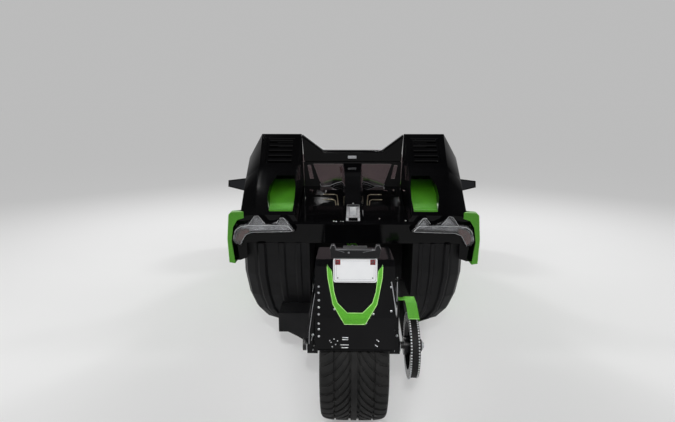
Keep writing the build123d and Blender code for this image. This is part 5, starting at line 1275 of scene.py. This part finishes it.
def make_front_details():
    # projectors in dark bowls behind the clear covers
    for side, word in SIDES:
        bowls, lenses = bmesh.new(), bmesh.new()
        for x, y in PROJECTORS:
            back, front = (side * x, y - 0.055, PROJECTOR_Z), (side * x, y - 0.004, PROJECTOR_Z)
            add_rod(bowls, back, front, 0.018, 24, 0.026, bevel=0.002)
            add_ball(lenses, front, 0.021, 0.55, (0, 1, 0))
        add_piece("headlamp_bowls_" + word, bowls, "lamp_reflector")
        add_piece("headlamp_lenses_" + word, lenses, "clear_lamp")
    # fins of the radiator and its end tanks
    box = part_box("radiator")
    bm = bmesh.new()
    y = box[1].y + 0.0005
    for i in range(FIN_COUNT):
        z = 0.222 + i * FIN_PITCH
        add_box(bm, (-0.272, y - 0.001, z), (0.272, y + 0.0008, z + 0.0016))
    for x in (0.276, -0.276):
        add_box(bm, (x - 0.006, y - 0.001, 0.217), (x + 0.006, y + 0.003, 0.428), 0.002)
    add_piece("radiator_fins", bm, "aluminium")
    # dark mesh under the slots of the hood's outlets
    bm = bmesh.new()
    for side in (1, -1):
        for k in range(OUTLET_BARS):
            y = 0.885 + k * 0.016
            z = 0.770 - (y - 0.70) * 0.19
            add_rod(bm, (side * 0.160, y, z - 0.012), (side * 0.310, y - 0.02, z - 0.045), 0.0015, 5)
    add_piece("outlet_mesh", bm, "black_steel")


# Engine: cover, intake and belt pulleys

INTAKE_COUNT = 4
INTAKE_X = -0.235
# columns: x, z, radius of the pulleys on the block's front
ENGINE_PULLEYS = [(-0.06, 0.36, 0.070), (-0.06, 0.53, 0.045), (0.08, 0.44, 0.030)]


def make_engine_details():
    # head cover, coil packs and intake pipes on their manifold
    bm = bmesh.new()
    add_box(bm, (-0.100, 0.860, 0.636), (0.060, 1.290, 0.662), 0.008)
    for i in range(INTAKE_COUNT):
        y = 0.905 + i * 0.105
        add_box(bm, (-0.050, y - 0.018, 0.658), (-0.006, y + 0.018, 0.674), 0.004)
        pipe = [(-0.120, 0.625), (-0.190, 0.600), (INTAKE_X, 0.540), (INTAKE_X, 0.470)]
        add_tube(bm, [(x, y, z) for x, z in pipe], 0.019, 12)
    add_rod(bm, (INTAKE_X, 0.87, 0.462), (INTAKE_X, 1.26, 0.462), 0.034, 20, bevel=0.006)
    add_piece("engine_cover", bm, "charcoal_plastic")
    bm = bmesh.new()
    for x, z, radius in ENGINE_PULLEYS:
        add_rod(bm, (x, 1.328, z), (x, 1.350, z), radius, 32, bevel=0.003)
    add_rod(bm, (0.130, 1.250, 0.585), (0.130, 1.330, 0.585), 0.052, 28, bevel=0.006)
    add_piece("engine_pulleys", bm, "aluminium")


make_tyres()
make_tail_lamps()
make_centre_lamp()
make_plate()
make_fender_details()
make_bracket_details()
make_strut_details()
make_swingarm_details()
make_pulley_details()
make_dampers()
make_wheel_details()
for side, word in SIDES:
    make_seat(side, word)
make_cockpit_details()
make_mirror_glass()
make_body_details()
make_front_details()
make_engine_details()


# Stage, lamps and camera

FLOOR_HALF = 400.0
EVEN_LIGHT = 0.36
FLOOR_SHADE = 0.56
FLOOR_BOUNCE = 0.30
BACKDROP = 0.50
# how high the pale backdrop ends and the ceiling begins, as the sine of the elevation
CEILING_FROM_TO = (0.30, 0.60)
CEILING = 0.05


def grey(shade):
    return (shade, shade, shade, 1.0)


def seen_ray(tree):
    """1 for the rays that show a surface: from the camera, in a reflection, and through glass."""
    path = tree.nodes.new("ShaderNodeLightPath")
    total = path.outputs["Is Camera Ray"]
    for name in ("Is Glossy Ray", "Is Transmission Ray"):
        either = tree.nodes.new("ShaderNodeMath")
        either.operation = "MAXIMUM"
        tree.links.new(total, either.inputs[0])
        tree.links.new(path.outputs[name], either.inputs[1])
        total = either.outputs["Value"]
    return total


def show_other(tree, light, seen, out):
    """One shader for the light that a thing gives, and another for how it looks."""
    mix = tree.nodes.new("ShaderNodeMixShader")
    tree.links.new(seen_ray(tree), mix.inputs["Fac"])
    tree.links.new(light, mix.inputs[1])
    tree.links.new(seen, mix.inputs[2])
    tree.links.new(mix.outputs["Shader"], out.inputs["Surface"])


def make_stage():
    """A pale floor without an end in sight; it looks paler than the light that it throws back."""
    mesh = bpy.data.meshes.new("floor")
    corners = [(x * FLOOR_HALF, y * FLOOR_HALF, 0) for x, y in ((-1, -1), (1, -1), (1, 1), (-1, 1))]
    mesh.from_pydata(corners, [], [(0, 1, 2, 3)])
    floor = bpy.data.objects.new("floor", mesh)
    bpy.context.scene.collection.objects.link(floor)
    mat = new_material("floor", grey(FLOOR_SHADE)[:3], 1.0, Specular_IOR_Level=0.0, Emission_Color=grey(1.0),
                       Emission_Strength=BACKDROP - EVEN_LIGHT * FLOOR_SHADE)
    mesh.materials.append(mat)
    bounce = add(mat, "ShaderNodeBsdfDiffuse", Color=grey(FLOOR_BOUNCE))
    tree = mat.node_tree
    seen = tree.nodes["Principled BSDF"].outputs["BSDF"]
    show_other(tree, bounce.outputs["BSDF"], seen, tree.nodes["Material Output"])


def make_world():
    """Even light for surfaces; to the eye a pale backdrop that turns into a dark ceiling high above."""
    world = bpy.data.worlds.new("studio")
    bpy.context.scene.world = world
    world.use_nodes = True
    tree = world.node_tree
    tree.nodes.clear()
    light = tree.nodes.new("ShaderNodeBackground")
    set_inputs(light, {"Color": grey(1.0), "Strength": EVEN_LIGHT})
    coords = tree.nodes.new("ShaderNodeTexCoord")
    parts = tree.nodes.new("ShaderNodeSeparateXYZ")
    shades = tree.nodes.new("ShaderNodeValToRGB")
    for element, level, shade in zip(shades.color_ramp.elements, CEILING_FROM_TO, (BACKDROP, CEILING)):
        element.position = level
        element.color = grey(shade)
    seen = tree.nodes.new("ShaderNodeBackground")
    tree.links.new(coords.outputs["Generated"], parts.inputs["Vector"])
    tree.links.new(parts.outputs["Z"], shades.inputs["Fac"])
    tree.links.new(shades.outputs["Color"], seen.inputs["Color"])
    out = tree.nodes.new("ShaderNodeOutputWorld")
    show_other(tree, light.outputs["Background"], seen.outputs["Background"], out)


# columns: name, place, aim, side, power, spread in degrees
LAMPS = [
    ("back_left", (-3.3, -1.7, 2.9), (0, -0.6, 0.7), 0.8, 42.0, 180.0),
    ("back_right", (3.3, -1.4, 2.9), (0, -0.6, 0.7), 0.8, 34.0, 180.0),
    ("front_left", (-3.0, 3.0, 3.6), (0, -0.4, 0.8), 0.8, 74.0, 180.0),
    ("front_right", (3.0, 3.0, 3.6), (0, -0.4, 0.8), 0.8, 74.0, 180.0),
    ("plate", (0.0, -4.3, 2.6), (0, -1.9, 0.80), 0.5, 2.1, 30.0),
]
# small spots under the ceiling that show only in reflections: x, y and z
GLINTS = [
    (-1.9, 1.0, 3.4), (-0.55, 1.6, 3.6), (0.55, 1.6, 3.6), (1.9, 1.0, 3.4),
    (-1.2, -0.6, 3.8), (0.35, -0.4, 4.0), (-0.4, -3.0, 4.2), (0.8, -3.0, 4.2),
]
# aim, side, power, spread in degrees of each of them
GLINT_LAMP = ((0, -0.8, 0.8), 0.12, 1.3, 60.0)


def make_lamp(name, spot, aim, side, power, spread, only_reflected=False):
    lamp = bpy.data.lights.new(name, "AREA")
    lamp.shape = "RECTANGLE"
    lamp.size = lamp.size_y = side
    lamp.energy = power
    lamp.spread = math.radians(spread)
    obj = bpy.data.objects.new(name, lamp)
    obj.location = spot
    obj.rotation_euler = (Vector(aim) - Vector(spot)).to_track_quat("-Z", "Y").to_euler()
    obj.visible_diffuse = not only_reflected
    bpy.context.scene.collection.objects.link(obj)


def make_camera():
    data = bpy.data.cameras.new("camera")
    data.sensor_width = SENSOR_WIDTH
    data.sensor_fit = "HORIZONTAL"
    data.lens = FOCAL_PIXELS / PHOTO_WIDTH * SENSOR_WIDTH
    camera = bpy.data.objects.new("camera", data)
    camera.location = CAMERA_PLACE
    camera.rotation_euler = (math.radians(90 - CAMERA_DOWN), 0, math.radians(CAMERA_LEFT))
    bpy.context.scene.collection.objects.link(camera)
    bpy.context.scene.camera = camera


make_stage()
make_world()
for row in LAMPS:
    make_lamp(*row)
for i, spot in enumerate(GLINTS):
    make_lamp("glint_%d" % i, spot, *GLINT_LAMP, only_reflected=True)
make_camera()
bpy.context.scene.view_settings.view_transform = "Standard"
